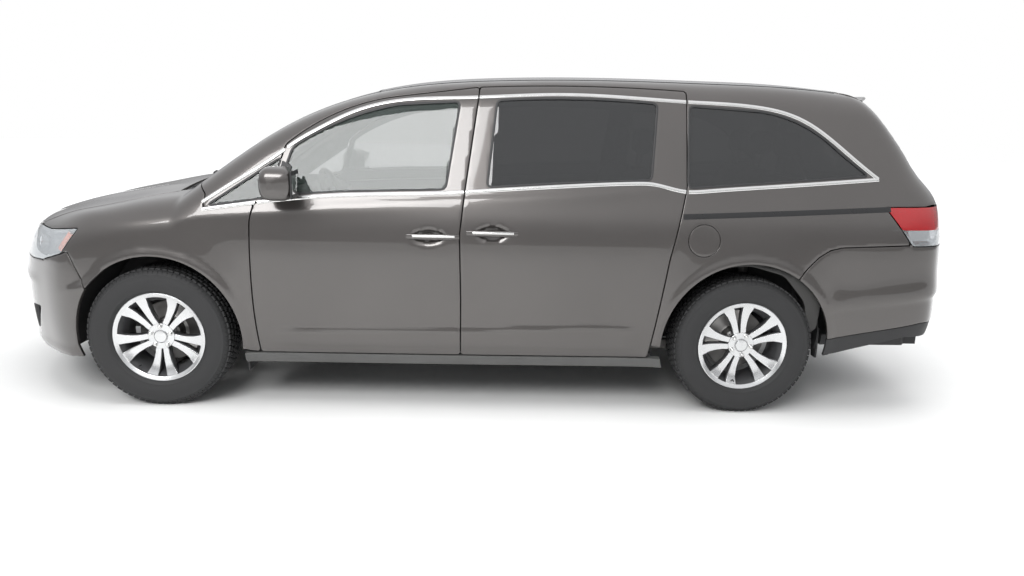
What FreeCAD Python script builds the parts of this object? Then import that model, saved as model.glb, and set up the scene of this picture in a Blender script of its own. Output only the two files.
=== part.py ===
import FreeCAD, Part
import math
import os

# Minivan. Millimetres, +X forward, +Y to the left, +Z up, origin on the ground
# under the middle of the vehicle.
doc = FreeCAD.newDocument("Minivan")
sheet = doc.addObject("Spreadsheet::Sheet", "Sizes")

# alias, value, meaning
sizeTable = [
    ("overallLength", 5154, "bumper to bumper"),
    ("frontOverhang", 1010, "front axle to the nose"),
    ("wheelbase", 3000, "axle to axle"),
    ("halfWidth", 1003, "middle to the widest point of the door skin"),
    ("roofHeight", 1737, "ground to the roof"),
    ("trackFront", 1730, "front wheel to wheel"),
    ("trackRear", 1735, "rear wheel to wheel"),
    ("tyreRadius", 362, "under load, so also the axle height"),
    ("tyreWidth", 236, "section width"),
    ("rimRadius", 233, "to the outside of the flange"),
    ("rimWidth", 200, "flange to flange"),
    ("sideRadius", 80000, "bow of the flanks in plan"),
    ("crownCentre", -3500, "height of the axis that crowns roof and hood"),
    ("doorWall", 105, "whole door or quarter panel"),
    ("postWall", 46, "pillars and window frames"),
    ("roofWall", 30, "roof with its lining"),
    ("skinWall", 10, "fender and bumper cover"),
    ("glassDepth", 5, "skin to the outer face of the glass"),
    ("glassWall", 5, "glass"),
    ("panelGap", 6, "around hood and tailgate"),
    ("roofGap", 9, "roof to tailgate, where its edge swings"),
    ("hatchInset", 16, "tailgate's inner panel in from its skin's edge"),
    ("doorGap", 9, "around the doors"),
    ("seatGap", 0.3, "fixed piece to what carries it"),
    ("frontArchRadius", 420, "opening in the fender"),
    ("rearArchRadius", 436, "opening in the quarter panel"),
    ("archHeight", 368, "centre of both openings"),
    ("linerRoom", 28, "liner outside the opening"),
    ("linerWall", 4, "wheel liner"),
    ("sillBottom", 222, "ground to the sill"),
    ("sillTop", 290, "ground to the lower edge of the doors"),
    ("floorTop", 400, "ground to the cabin floor"),
    ("floorWall", 60, "floor with its ribs"),
    ("beltHeight", 1100, "where thick door turns into thin frame"),
    ("brakeRadius", 148, "brake disc"),
    ("brakeWall", 26, "brake disc"),
    ("kingpinTop", 900, "height of the strut's top mount"),
    ("kingpinTopHalf", 665, "middle to the top mount"),
    ("ballHeight", 190, "height of the lower ball joint"),
    ("ballHalf", 800, "middle to the lower ball joint"),
    ("hoodHingeBack", 137, "front axle back to the hood hinge"),
    ("hoodHingeHeight", 1066, "ground to the hood hinge"),
    ("hatchHingeIn", 20, "front edge of the tailgate back to its hinge"),
    ("hatchHingeDrop", 52, "roof's highest point down to the tailgate hinge"),
    ("doorHingeIn", 68, "leading edge of the door back to its hinge"),
    ("doorHingeDepth", 30, "door skin in to the hinge"),
    ("fuelDoorRadius", 80, "round door over the filler"),
    ("wheelRimRadius", 185, "steering wheel, to the middle of its grip"),
    ("engineLength", 660, "engine with its gearbox, along the car"),
    ("engineWidth", 760, "across the car"),
    ("engineHeight", 520, "sump to cover"),
    ("engineBottom", 300, "ground to the sump"),
    ("tankLength", 760, "fuel tank, along the car"),
    ("tankWidth", 520, "across the car"),
    ("tankHeight", 170, "hung under the floor"),
]
for row, (alias, value, meaning) in enumerate(sizeTable, start=1):
    sheet.set(f"A{row}", meaning)
    sheet.set(f"B{row}", str(value))
    sheet.setAlias(f"B{row}", alias)
doc.recompute()


def size(alias):
    return float(sheet.get(alias))


# Driving places: the axles and the ends
noseX = size("overallLength") / 2
tailX = -noseX
frontX = noseX - size("frontOverhang")
rearX = frontX - size("wheelbase")
half = size("halfWidth")
roof = size("roofHeight")
gap = size("panelGap")
doorGap = size("doorGap")
seat = size("seatGap")
FAR = 3000.0


def wire(points, place):
    """Closed outline: a pair is a straight run, four numbers an arc by way of the first pair."""
    edges = []
    last = place(*points[0][:2])
    first = last
    for step in points[1:]:
        end = place(*step[-2:])
        if len(step) == 4:
            edges.append(Part.Arc(last, place(*step[:2]), end).toShape())
        else:
            edges.append(Part.LineSegment(last, end).toShape())
        last = end
    if (last - first).Length > 1e-6:
        edges.append(Part.LineSegment(last, first).toShape())
    return Part.Wire(edges)


def sidePlace(x, z):
    return FreeCAD.Vector(x, 0, z)


def planPlace(x, y):
    return FreeCAD.Vector(x, y, 0)


def rearPlace(y, z):
    return FreeCAD.Vector(0, y, z)


def unit(dx, dy):
    length = math.hypot(dx, dy)
    return dx / length, dy / length


def bends(start, middle, end):
    """Directions of travel at the start, middle and end of a run or an arc."""
    if middle is None:
        along = unit(end[0] - start[0], end[1] - start[1])
        return along, along, along
    ax, ay = middle[0] - start[0], middle[1] - start[1]
    bx, by = end[0] - start[0], end[1] - start[1]
    turn = ax * by - ay * bx
    cx = start[0] + (by * (ax * ax + ay * ay) - ay * (bx * bx + by * by)) / (2 * turn)
    cy = start[1] + (ax * (bx * bx + by * by) - bx * (ax * ax + ay * ay)) / (2 * turn)
    sense = 1 if turn > 0 else -1
    return tuple(unit(-sense * (y - cy), sense * (x - cx)) for x, y in (start, middle, end))


def drawnIn(points, amount):
    """The same outline with its corners and arc middles moved in by amount, or out if negative."""
    if amount == 0:
        return points
    ring = [tuple(step[-2:]) for step in points]
    middles = [tuple(step[:2]) if len(step) == 4 else None for step in points[1:]]
    closed = math.dist(ring[0], ring[-1]) < 1e-6
    if closed:
        ring.pop()
    else:
        middles.append(None)
    count = len(ring)
    area = sum(ring[i][0] * ring[(i + 1) % count][1] - ring[(i + 1) % count][0] * ring[i][1] for i in range(count))
    shift = amount if area > 0 else -amount
    ways = [bends(ring[i], middles[i], ring[(i + 1) % count]) for i in range(count)]
    moved = []
    for i, (x, y) in enumerate(ring):
        (px, py), (qx, qy) = ways[i - 1][2], ways[i][0]
        share = shift / (1 + px * qx + py * qy)
        moved.append((x - (py + qy) * share, y + (px + qx) * share))
    drawn = [moved[0]]
    for i in range(count):
        end = moved[(i + 1) % count]
        if middles[i] is None:
            drawn.append(end)
        else:
            tx, ty = ways[i][1]
            drawn.append((middles[i][0] - ty * shift, middles[i][1] + tx * shift) + end)
    return drawn


def sideZone(points, low=-FAR, high=FAR, grow=0.0):
    face = Part.Face(wire(drawnIn(points, -grow), sidePlace))
    face.translate(FreeCAD.Vector(0, low, 0))
    return face.extrude(FreeCAD.Vector(0, high - low, 0))


def planZone(points, low=-FAR, high=FAR, grow=0.0):
    face = Part.Face(wire(drawnIn(points, -grow), planPlace))
    face.translate(FreeCAD.Vector(0, 0, low))
    return face.extrude(FreeCAD.Vector(0, 0, high - low))


def rearZone(points, low=-FAR, high=FAR, grow=0.0):
    face = Part.Face(wire(drawnIn(points, -grow), rearPlace))
    face.translate(FreeCAD.Vector(low, 0, 0))
    return face.extrude(FreeCAD.Vector(high - low, 0, 0))


def block(x0, x1, y0, y1, z0, z1):
    return Part.makeBox(x1 - x0, y1 - y0, z1 - z0, FreeCAD.Vector(x0, y0, z0))


def drum(radius, x, y0, y1, z):
    return Part.makeCylinder(radius, y1 - y0, FreeCAD.Vector(x, y0, z), FreeCAD.Vector(0, 1, 0))


def rod(start, end, radius):
    line = end - start
    return Part.makeCylinder(radius, line.Length, start, line)


def mirrored(shape):
    return shape.mirror(FreeCAD.Vector(0, 0, 0), FreeCAD.Vector(0, 1, 0))


def both(shape):
    return Part.makeCompound([shape, mirrored(shape)])


# Body form: one side profile swung about a low axis, two bowed flanks and a plan outline
profile = [
    (noseX - 20, -400), (noseX - 22, 240), (noseX - 4, 400, noseX, 520), (noseX, 600),
    (noseX - 14, 715, noseX - 60, 800), (noseX - 185, 918, noseX - 388, 996),
    (noseX - 580, 1046, frontX + 240, 1081), (frontX + 70, 1116, frontX - 85, 1136),
    (frontX - 150, 1156), (frontX - 546, roof - 305, frontX - 1007, roof - 109),
    (frontX - 1330, roof - 46, frontX - 1660, roof - 18),
    (rearX + 600, roof, rearX - 270, roof - 15), (rearX - 472, roof - 32),
    (rearX - 660, roof - 92, rearX - 771, roof - 239),
    (tailX + 277, roof - 365, tailX + 185, roof - 492),
    (tailX + 85, 1160, tailX + 40, 1050), (tailX + 6, 830, tailX, 600), (tailX, 460),
    (tailX + 27, 370), (tailX + 30, -400),
]
flank = [
    (-1400, -400), (half - 90, -400), (half - 60, 230), (half - 18, 420, half, 650), (half, 800),
    (half - 14, 960, half - 52, 1100), (half - 228, roof - 147), (half - 268, roof - 72, half - 363, roof - 22),
    (-1400, roof + 120),
]
plan = [
    (noseX - 730, half + 5), (noseX - 457, half - 120, noseX - 268, half - 293),
    (noseX + 6, 0, noseX - 268, 293 - half), (noseX - 457, 120 - half, noseX - 730, -5 - half),
    (noseX - 800, -half - 100), (tailX + 440, -half - 100), (tailX + 377, 0 - half - 10),
    (tailX + 135, 110 - half, tailX + 57, 223 - half), (tailX - 6, 0, tailX + 57, half - 223),
    (tailX + 135, half - 110, tailX + 377, half + 10), (tailX + 440, half + 100), (noseX - 800, half + 100),
]


def bodyForm(inset):
    """Left half of the body's outer form, drawn in by inset."""
    axisFoot = FreeCAD.Vector(0, 0, size("crownCentre"))
    sideFace = Part.Face(wire(drawnIn(profile, inset), sidePlace))
    sideFace.rotate(axisFoot, FreeCAD.Vector(1, 0, 0), -18)
    crowned = sideFace.revolve(axisFoot, FreeCAD.Vector(1, 0, 0), 36)
    flankFace = Part.Face(wire(drawnIn(flank, inset), rearPlace))
    bowFoot = FreeCAD.Vector(0, half - size("sideRadius"), 0)
    flankFace.rotate(bowFoot, FreeCAD.Vector(0, 0, 1), -2.4)
    left = flankFace.revolve(bowFoot, FreeCAD.Vector(0, 0, 1), 4.8)
    planFace = Part.Face(wire(drawnIn(plan, inset), planPlace))
    planFace.translate(FreeCAD.Vector(0, 0, -350))
    walls = planFace.extrude(FreeCAD.Vector(0, 0, 2300))
    return crowned.common(walls).common(left).common(block(-FAR, FAR, 0, FAR, -900, FAR))


under = sideZone([
    (noseX + 200, -900), (noseX + 200, 236), (frontX + 430, 228), (rearX + 450, size("sillBottom") + 18),
    (rearX - 420, 300), (rearX - 700, 345), (tailX - 200, 388), (tailX - 200, -900)])
archFront = drum(size("frontArchRadius"), frontX - 7, 500, 1300, size("archHeight"))
archRear = drum(size("rearArchRadius"), rearX, 640, 1300, size("archHeight"))
arches = archFront.fuse(archRear)


pieces = []


def keep(name, shape):
    """Adds a document object whose label names its file."""
    feature = doc.addObject("Part::Feature", name)
    feature.Label = name
    feature.Shape = shape
    feature.Placement = FreeCAD.Placement()
    pieces.append(feature)
    return feature


def bound(kind, name, **cells):
    """Adds a primitive whose sizes are bound to the sheet."""
    thing = doc.addObject(kind, name)
    for prop, formula in cells.items():
        thing.setExpression(prop, formula)
    return thing


def solidsOver(shape, volume=2.0e4):
    """Drops the slivers that a cut can leave."""
    solids = [solid for solid in shape.Solids if solid.Volume > volume]
    if len(solids) == 1:
        return solids[0]
    return Part.makeCompound(solids)


# Nested forms: skin, glass faces, pillar, roof, door and cover inner faces
outer = bodyForm(0)
glassOut = bodyForm(size("glassDepth"))
glassIn = bodyForm(size("glassDepth") + size("glassWall"))
skinIn = bodyForm(size("skinWall"))
roofIn = bodyForm(size("roofWall"))
postIn = bodyForm(size("postWall"))
doorIn = bodyForm(size("doorWall"))
belt = size("beltHeight")
low = block(-FAR, FAR, -FAR, FAR, -900, belt)
high = block(-FAR, FAR, -FAR, FAR, belt, FAR)
cavity = doorIn.common(low).fuse(postIn.common(high))
thick = outer.cut(cavity).cut(under)
thin = outer.cut(skinIn).cut(under)
roofShell = outer.cut(roofIn)
glass = glassOut.cut(glassIn)

# Side outlines, as places along the car and heights
postX = frontX - 1533
frontDoor = [
    (frontX - 512, size("sillTop")), (frontX - 494, 600, frontX - 493, 974), (frontX - 513, belt - 44),
    (frontX - 584, belt - 14), (frontX - 655, roof - 395), (frontX - 880, roof - 245, frontX - 1187, roof - 152),
    (postX - 77, roof - 92), (postX - 74, roof - 142), (postX - 15, 1148), (postX + 9, 927),
    (postX, size("sillTop"))]
slidingDoor = [
    (postX, size("sillTop")), (postX + 9, 927), (postX - 15, 1148), (postX - 74, roof - 142), (postX - 78, roof - 92),
    (postX - 500, roof - 76, rearX + 335, roof - 88), (rearX + 340, 1171), (rearX + 371, 1038),
    (rearX + 420, 822), (rearX + 467, 510), (rearX + 502, size("sillTop"))]
frontWindow = [
    (postX + 82, belt + 41), (postX + 18, roof - 167), (frontX - 1217, roof - 188),
    (frontX - 960, roof - 262, frontX - 690, roof - 408), (frontX - 617, belt - 2), (frontX - 950, belt + 22)]
slidingWindow = [
    (postX - 122, belt + 56), (postX - 167, roof - 157), (postX - 500, roof - 140, rearX + 485, roof - 154),
    (rearX + 519, belt + 106), (postX - 500, belt + 84)]
quarterWindow = [
    (rearX + 334, belt + 71), (rearX + 324, roof - 161), (rearX - 40, roof - 180),
    (rearX - 300, roof - 262, rearX - 448, roof - 372), (rearX - 600, belt + 147)]
smallWindow = [(frontX - 281, belt - 60), (frontX - 640, roof - 455), (frontX - 572, belt - 16)]
fender = [
    (frontX - 512, 150), (frontX - 512, size("sillTop")), (frontX - 494, 600, frontX - 493, 974),
    (frontX - 513, belt - 44), (frontX - 265, belt - 71), (frontX - 272, belt - 6), (frontX - 222, belt + 70),
    (frontX - 150, belt + 400), (noseX + 200, belt + 400), (noseX + 200, 150)]
headlamp = [
    (frontX + 368, 912), (frontX + 553, 892), (frontX + 873, 850), (frontX + 833, 705),
    (frontX + 622, 730), (frontX + 474, 777)]
frontCover = [
    (frontX + 283, 100), (frontX + 332, 617), (frontX + 430, 795), (frontX + 474, 777), (frontX + 622, 730),
    (frontX + 833, 705), (frontX + 873, 850), (noseX - 112, 900), (noseX + 200, 900), (noseX + 200, 100)]
rearCover = [
    (rearX - 340, 100), (rearX - 320, 720), (rearX - 340, 830), (rearX - 405, 883), (rearX - 813, 909),
    (tailX - 200, 915), (tailX - 200, 100)]
tailLamp = [
    (rearX - 677, 1097), (rearX - 897, 1102), (tailX - 200, 1106), (tailX - 200, 915), (rearX - 825, 903)]

# Plan outlines of what lies on top
roofEnd = rearX - 476
hoodRear = frontX - 60
hood = [
    (hoodRear, -715), (hoodRear, 715), (frontX + 180, 772, frontX + 470, 765),
    (frontX + 735, 590, noseX - 118, 0), (frontX + 735, -590, frontX + 470, -765),
    (frontX + 180, -772, hoodRear, -715)]
shield = [
    (frontX - 150, -690), (frontX - 150, 690), (frontX - 640, 650, frontX - 1090, 606),
    (frontX - 1062, 0, frontX - 1090, -606), (frontX - 640, -650, frontX - 150, -690)]
roofTop = [
    (frontX - 1090, 606), (frontX - 1062, 0, frontX - 1090, -606), (frontX - 1500, -640), (rearX, -640),
    (roofEnd, -610), (roofEnd, 610), (rearX, 640), (frontX - 1500, 640)]
cowlHalf = 656
cowl = [
    (hoodRear - gap, -cowlHalf), (hoodRear - gap, cowlHalf), (frontX - 149, cowlHalf), (frontX - 149, -cowlHalf)]
hatch = [
    (668, roof + 40), (646, roof - 20), (658, roof - 140), (792, belt + 90), (812, belt), (812, 640), (760, 560),
    (-760, 560), (-812, 640), (-812, belt), (-792, belt + 90), (-658, roof - 140), (-646, roof - 20),
    (-668, roof + 40)]
hatchWindow = [
    (560, roof - 160), (640, roof - 260), (706, belt + 100), (0, belt + 78, -706, belt + 100),
    (-640, roof - 260), (-560, roof - 160), (0, roof - 148, 560, roof - 160)]
hatchTool = rearZone(hatch, -FAR, roofEnd, gap)
hoodTool = planZone(hood, 700, FAR, gap)
cowlTool = planZone(cowl, 900, FAR, seat)
upperTool = planZone(shield, 900, FAR, seat).fuse(planZone(roofTop, 1200, FAR, seat))
hingeX = frontX - 493 - doorGap / 2 - size("doorHingeIn")
hingeY = half - size("doorHingeDepth") - 3
# Doors sweep past the posts and sills, so each leaves room round its hinge
hingeRoom = Part.makeCylinder(size("doorWall") + 6, 900, FreeCAD.Vector(hingeX, hingeY, 240))
sillRoom = Part.makeCylinder(size("doorWall") + 30, 190, FreeCAD.Vector(hingeX, hingeY, 240))
leftSide = block(-FAR, FAR, 0, FAR, -900, FAR)


def onSide(points, grow=0.0):
    return sideZone(points, 0, FAR, grow)


# Doors of the left side; the right ones are mirrored
doorShell = thick.common(leftSide)
frontDoorShape = doorShell.common(onSide(frontDoor, -doorGap / 2)).cut(onSide(frontWindow))
slidingDoorShape = doorShell.common(onSide(slidingDoor, -doorGap / 2)).cut(onSide(slidingWindow))
for spot in (postX - 240, rearX + 740):
    slidingDoorShape = slidingDoorShape.fuse(doorShell.common(block(
        spot, spot + 60, 860, 930, size("sillTop") - doorGap / 2 + seat, size("sillTop") + 20)))
frontDoorGlass = glass.common(onSide(frontWindow, -seat))
slidingGlass = glass.common(onSide(slidingWindow, -seat))

# Body side with its pillars, quarter panel and sill
sidePiece = doorShell.common(block(tailX - 100, frontX - 140, 380, 1200, -900, FAR))
sidePiece = sidePiece.cut(onSide(frontDoor, doorGap / 2)).cut(onSide(slidingDoor, doorGap / 2))
sidePiece = sidePiece.cut(onSide(quarterWindow)).cut(onSide(smallWindow))
sidePiece = sidePiece.cut(onSide(fender, seat)).cut(onSide(rearCover, seat)).cut(onSide(tailLamp, seat))
sidePiece = sidePiece.cut(upperTool).cut(hatchTool).cut(arches).cut(hoodTool)
sideShape = solidsOver(sidePiece)


def joined(shape):
    """A piece across the middle from its left half."""
    return shape.fuse(mirrored(shape)).removeSplitter()


# Fender, hood, roof, glass and cowl
fenderShape = thin.common(onSide(fender)).cut(onSide(frontDoor, doorGap / 2)).cut(onSide(headlamp, seat))
fenderShape = fenderShape.cut(onSide(frontCover, seat)).cut(hoodTool).cut(cowlTool).cut(upperTool).cut(archFront)
fenderShape = solidsOver(fenderShape.cut(block(frontX + 480, FAR, -FAR, FAR, 0, FAR)))
hoodHinge = FreeCAD.Vector(frontX - size("hoodHingeBack"), 0, size("hoodHingeHeight"))
hoodHalf = thin.common(planZone(hood, 700))
armY = 670
hoodArm = sideZone([
    (hoodHinge.x - 10, hoodHinge.z - 8), (hoodHinge.x + 14, hoodHinge.z - 26), (hoodRear + 34, hoodHinge.z - 26),
    (hoodRear + 60, 1075), (hoodRear + 20, 1075), (hoodRear + 8, hoodHinge.z - 12),
    (hoodHinge.x + 10, hoodHinge.z + 8)], armY, armY + 12)
hoodArm = hoodArm.fuse(drum(12, hoodHinge.x, armY, armY + 12, hoodHinge.z)).common(skinIn.fuse(hoodHalf))
hoodShape = joined(hoodHalf.fuse(hoodArm))
fenderShape = fenderShape.cut(block(hoodHinge.x - 18, hoodRear + gap, armY - 6, armY + 18, 1000, 1200))
hatchHinge = FreeCAD.Vector(
    roofEnd - size("roofGap") - size("hatchHingeIn"), 0, roof - size("hatchHingeDrop"))
tongueY = 230
tongueRadius = 7
tongue = drum(tongueRadius, hatchHinge.x, tongueY + seat, tongueY + 20 - seat, hatchHinge.z)
tongue = tongue.fuse(block(hatchHinge.x, roofEnd + 40, tongueY + seat, tongueY + 20 - seat,
                           hatchHinge.z - tongueRadius, hatchHinge.z + tongueRadius))
roofShape = joined(roofShell.common(planZone(roofTop, 1200)).fuse(tongue.common(glassOut)))
shieldShape = joined(glass.common(planZone(shield, 900, FAR, -seat)))
cowlShape = joined(glassIn.cut(bodyForm(16)).common(planZone(cowl, 900)))
quarterGlass = glass.common(onSide(quarterWindow, -seat))
smallGlass = glass.common(onSide(smallWindow, -seat))

# Nose: cover with two openings, slatted grilles and the lamps
grilleOpening = [(-400, 702), (400, 702), (440, 810), (0, 846, -440, 810)]
intakeOpening = [(-430, 306), (430, 306), (480, 440), (-480, 440)]


def slatted(opening, pitch, slatWall):
    """Frame and slats that fill one opening of the nose."""
    lattice = rearZone(opening, frontX, FAR, -seat).cut(rearZone(opening, frontX, FAR, -16))
    lowest = min(step[-1] for step in opening)
    highest = max(step[-1] for step in opening)
    field = rearZone(opening, frontX, FAR, -10)
    for number in range(1, int((highest - lowest) / pitch) + 1):
        height = lowest + number * pitch
        lattice = lattice.fuse(field.common(block(frontX, FAR, -FAR, FAR, height, height + slatWall)))
    return noseShell.common(lattice).cut(hoodTool)


noseShell = joined(glassOut.cut(roofIn).common(block(frontX + 500, FAR, -FAR, FAR, 200, 900)))
noseTools = rearZone(grilleOpening, frontX, FAR).fuse(rearZone(intakeOpening, frontX, FAR))
frontBumper = thin.common(onSide(frontCover)).cut(noseTools).cut(hoodTool).cut(onSide(headlamp, seat))
frontBumper = joined(solidsOver(frontBumper.cut(archFront)))
grilleShape = Part.makeCompound([slatted(grilleOpening, 36, 14), slatted(intakeOpening, 36, 12)])
lampShell = outer.cut(postIn)
headlampShape = solidsOver(lampShell.common(onSide(headlamp)).cut(hoodTool).cut(noseTools))

# Tail: cover, lamps and hatch
rearBumper = thin.common(onSide(rearCover)).cut(hatchTool).cut(archRear).cut(onSide(tailLamp, seat))
rearBumper = joined(solidsOver(rearBumper))
tailLampShape = solidsOver(lampShell.common(onSide(tailLamp)).cut(hatchTool))
plateX = tailX + 36
plateHeight = 880
plateRecess = block(tailX - 100, plateX, -175, 175, plateHeight - 75, plateHeight + 75)
hatchFront = roofEnd - size("roofGap")
hatchSkin = thin.common(rearZone(hatch, -FAR, hatchFront))
hatchCore = lampShell.common(rearZone(hatch, -FAR, hatchFront, -size("hatchInset")))
hatchShape = hatchSkin.fuse(hatchCore).cut(under)
hatchShape = hatchShape.cut(rearZone(hatchWindow, -FAR, roofEnd))
hatchNotch = block(hatchHinge.x - 24, roofEnd, tongueY, tongueY + 20, 1400, FAR)
hatchShape = joined(solidsOver(hatchShape.cut(hatchNotch))).cut(plateRecess)
for side in (-1, 1):
    hatchShape = hatchShape.cut(Part.makeCylinder(
        3, 16, FreeCAD.Vector(plateX, side * 88.9, plateHeight), FreeCAD.Vector(1, 0, 0)))
hatchGlass = joined(glass.common(rearZone(hatchWindow, -FAR, roofEnd, -seat)))

# Round fuel door in the left quarter panel
fuelX = rearX + 252
fuelHeight = 917
fuelRadius = size("fuelDoorRadius")
fuelPocket = drum(fuelRadius + 7, fuelX, half - 70, half + 20, fuelHeight)
fuelHingeX = fuelX + fuelRadius - 18
fuelHingeY = 980.5
fuelDoor = outer.cut(bodyForm(3)).common(drum(fuelRadius, fuelX, half - 60, half + 20, fuelHeight))
fuelKnuckle = Part.makeCylinder(4.5, 24, FreeCAD.Vector(fuelHingeX, fuelHingeY, fuelHeight - 12))
fuelDoor = solidsOver(fuelDoor, 100).fuse(fuelKnuckle)
fuelPocket = fuelPocket.fuse(block(fuelHingeX - 2, fuelHingeX + 15, half - 70, half + 20, fuelHeight - 65, fuelHeight + 65))
fuelPost = block(fuelHingeX - 8, fuelHingeX, half - 74, fuelHingeY, fuelHeight + 12 + seat, fuelHeight + 26)

sideShape = sideShape.cut(fuelPocket).fuse(fuelPost)

# Frame of the body: floor, side rails, front and middle posts, bulkhead
floorTop = size("floorTop")
floorLow = floorTop - size("floorWall")
linerOut = size("linerRoom") + size("linerWall")
frontWell = drum(size("frontArchRadius") + linerOut, frontX - 7, 536, 1300, size("archHeight"))
rearWell = drum(size("rearArchRadius") + size("linerWall"), rearX, 636, 1300, size("archHeight"))
railForm = bodyForm(size("doorWall") + doorGap)
postOuter = bodyForm(size("postWall") + doorGap)
postInner = bodyForm(size("doorWall") + 50)
postCore = bodyForm(size("postWall") + 44)
leftFloor = block(tailX + 130, frontX - 440, 0, 790, floorLow, floorTop)
rails = doorIn.common(block(rearX + 455, frontX - 500, 740, 1100, 236, size("sillTop") - 10))
rails = rails.fuse(railForm.common(block(rearX + 455, frontX - 440, 740, 1100, size("sillTop") - 12, floorTop)))
rails = rails.fuse(railForm.common(block(tailX + 130, rearX + 460, 740, 1100, floorLow, floorTop)))
lowPost = railForm.cut(postInner).common(block(postX - 50, postX + 60, 300, 1100, floorTop - 40, belt + 12))
shoulder = postOuter.cut(postInner).common(block(postX - 60, postX + 50, 300, 1100, belt + 8, belt + 50))
highPost = postOuter.cut(postCore).common(onSide([
    (postX - 60, belt + 40), (postX - 118, roof - 80), (postX - 48, roof - 80), (postX + 50, belt + 40)]))
postHead = postIn.cut(postCore).common(block(postX - 118, postX - 48, 300, 1100, roof - 88, roof - 66))
hingePost = skinIn.common(block(frontX - 482, frontX - 425, 700, 1100, 236, belt - 80)).cut(hingeRoom)
hingePost = hingePost.common(onSide([(frontX - 482, 236), (frontX - 482, belt - 80), (frontX - 425, belt - 80), (frontX - 425, 236)]))
wall = block(frontX - 482, frontX - 440, 0, 800, floorLow, belt - 60)
apronTop = size("hoodHingeHeight") + 14
apron = block(frontX - 470, frontX + 110, 682 + seat, 692, size("kingpinTop") + 5.5, apronTop)
apron = apron.common(bodyForm(24)).cut(planZone(hood, 700, FAR, gap).common(block(hoodRear - 10, FAR, 0, FAR, 1040, FAR)))
apron = apron.cut(sideShape)
tower = block(frontX - 95, frontX + 95, 575, 760, size("kingpinTop") + 5.5, size("kingpinTop") + 18)
flapRoom = block(frontX - 460, frontX - 425, 765, 1100, 160, 430).fuse(
    block(rearX - 466, rearX - 425, 765, 1100, 200, 445))
jackPads = [block(x - 70, x + 70, 770, 830, size("sillBottom") + 8, 250) for x in (-850, 850)]
frameHalf = leftFloor
for member in (rails, lowPost, shoulder, highPost, postHead, hingePost, wall, apron, tower, *jackPads):
    frameHalf = frameHalf.fuse(member)
frameHalf = frameHalf.cut(frontWell).cut(rearWell).cut(hingeRoom).cut(sillRoom).cut(flapRoom)
frameShape = joined(solidsOver(frameHalf))

# Wheel liners and mud flaps
archZ = size("archHeight")


def liner(radius, x, innerY, form, upTo):
    ring = drum(radius + size("linerWall"), x, innerY, 1200, archZ).cut(drum(radius, x, innerY, 1200, archZ))
    plate = drum(radius + size("linerWall"), x, innerY, innerY + size("linerWall"), archZ)
    whole = ring.fuse(plate).common(form)
    return whole.cut(block(x - 700, x + 700, 0, 1300, -900, upTo))


frontLiner = liner(size("frontArchRadius") + size("linerRoom"), frontX - 7, 540, skinIn, 300)
rearLiner = liner(size("rearArchRadius"), rearX, 640, doorIn, 320)
frontFlap = skinIn.common(onSide([
    (frontX - 455, 420), (frontX - 455, 330), (frontX - 438, 250), (frontX - 440, 182), (frontX - 434, 182),
    (frontX - 432, 250), (frontX - 448, 330), (frontX - 448, 420)])).common(
    block(0, FAR, 770, 1100, 0, FAR))
rearFlap = doorIn.common(onSide([
    (rearX - 432, 440), (rearX - 452, 262), (rearX - 462, 262), (rearX - 440, 440)])).common(
    block(-FAR, 0, 770, 1100, 0, FAR))
strutHole = Part.makeCylinder(82, 240, FreeCAD.Vector(frontX, size("kingpinTopHalf") + 12, 680))
frontLiner = frontLiner.fuse(frontFlap).cut(strutHole)
rearLiner = rearLiner.fuse(rearFlap)

# Powertrain and running gear
engine = bound("Part::Box", "engine_block", Length="Sizes.engineLength", Width="Sizes.engineWidth",
               Height="Sizes.engineHeight")
engine.Placement.Base = FreeCAD.Vector(frontX - 260, -400, size("engineBottom"))
tank = bound("Part::Box", "tankBlock", Length="Sizes.tankLength", Width="Sizes.tankWidth", Height="Sizes.tankHeight")
tank.Placement.Base = FreeCAD.Vector(rearX + 420, -60, floorLow - size("tankHeight"))

ballPoint = FreeCAD.Vector(frontX, size("ballHalf"), size("ballHeight"))
strutTop = FreeCAD.Vector(frontX, size("kingpinTopHalf"), size("kingpinTop"))
axle = size("tyreRadius")
hubY = size("trackFront") / 2
discY = hubY - 66
arm = planZone([
    (frontX - 170, 330), (frontX + 60, 330), (frontX + 26, size("ballHalf") - 30),
    (frontX, size("ballHalf") + 22, frontX - 26, size("ballHalf") - 30)], 160, 176)
crossMember = block(frontX - 200, frontX + 90, 0, 400, 176, 236)
bearer = block(frontX - 445, frontX - 120, 330, 400, 236, 300).fuse(
    block(frontX - 442, frontX - 380, 330, 400, 236, floorLow))
suspensionHalf = arm.fuse(crossMember).fuse(bearer)
engineMount = block(frontX - 120, frontX + 40, 0, 300, 236, size("engineBottom"))
suspensionShape = joined(suspensionHalf.fuse(engineMount))

knuckleShape = block(frontX - 30, frontX + 30, 722, 760, 204, 520)
knuckleShape = knuckleShape.fuse(drum(62, frontX, 722, hubY - 84, axle))
knuckleShape = knuckleShape.fuse(drum(40, frontX, hubY - 90, hubY - 40.3, axle))
knuckleShape = knuckleShape.fuse(block(frontX - 24, frontX + 24, 722, size("ballHalf") + 16, 180, 208).common(
    Part.makeCylinder(96, 60, ballPoint - FreeCAD.Vector(0, 0, 30))))
kingpin = (strutTop - ballPoint).normalize()
knuckleShape = knuckleShape.fuse(rod(ballPoint - kingpin * 12.2, ballPoint + kingpin * 4, 9))
knuckleShape = knuckleShape.fuse(rod(strutTop - kingpin * 30, strutTop - kingpin * 2, 24))
strutFoot = FreeCAD.Vector(frontX, 706, 470)
strutLine = strutTop - strutFoot
knuckleShape = knuckleShape.fuse(rod(strutFoot, strutFoot + strutLine * 0.99, 24))
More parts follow.
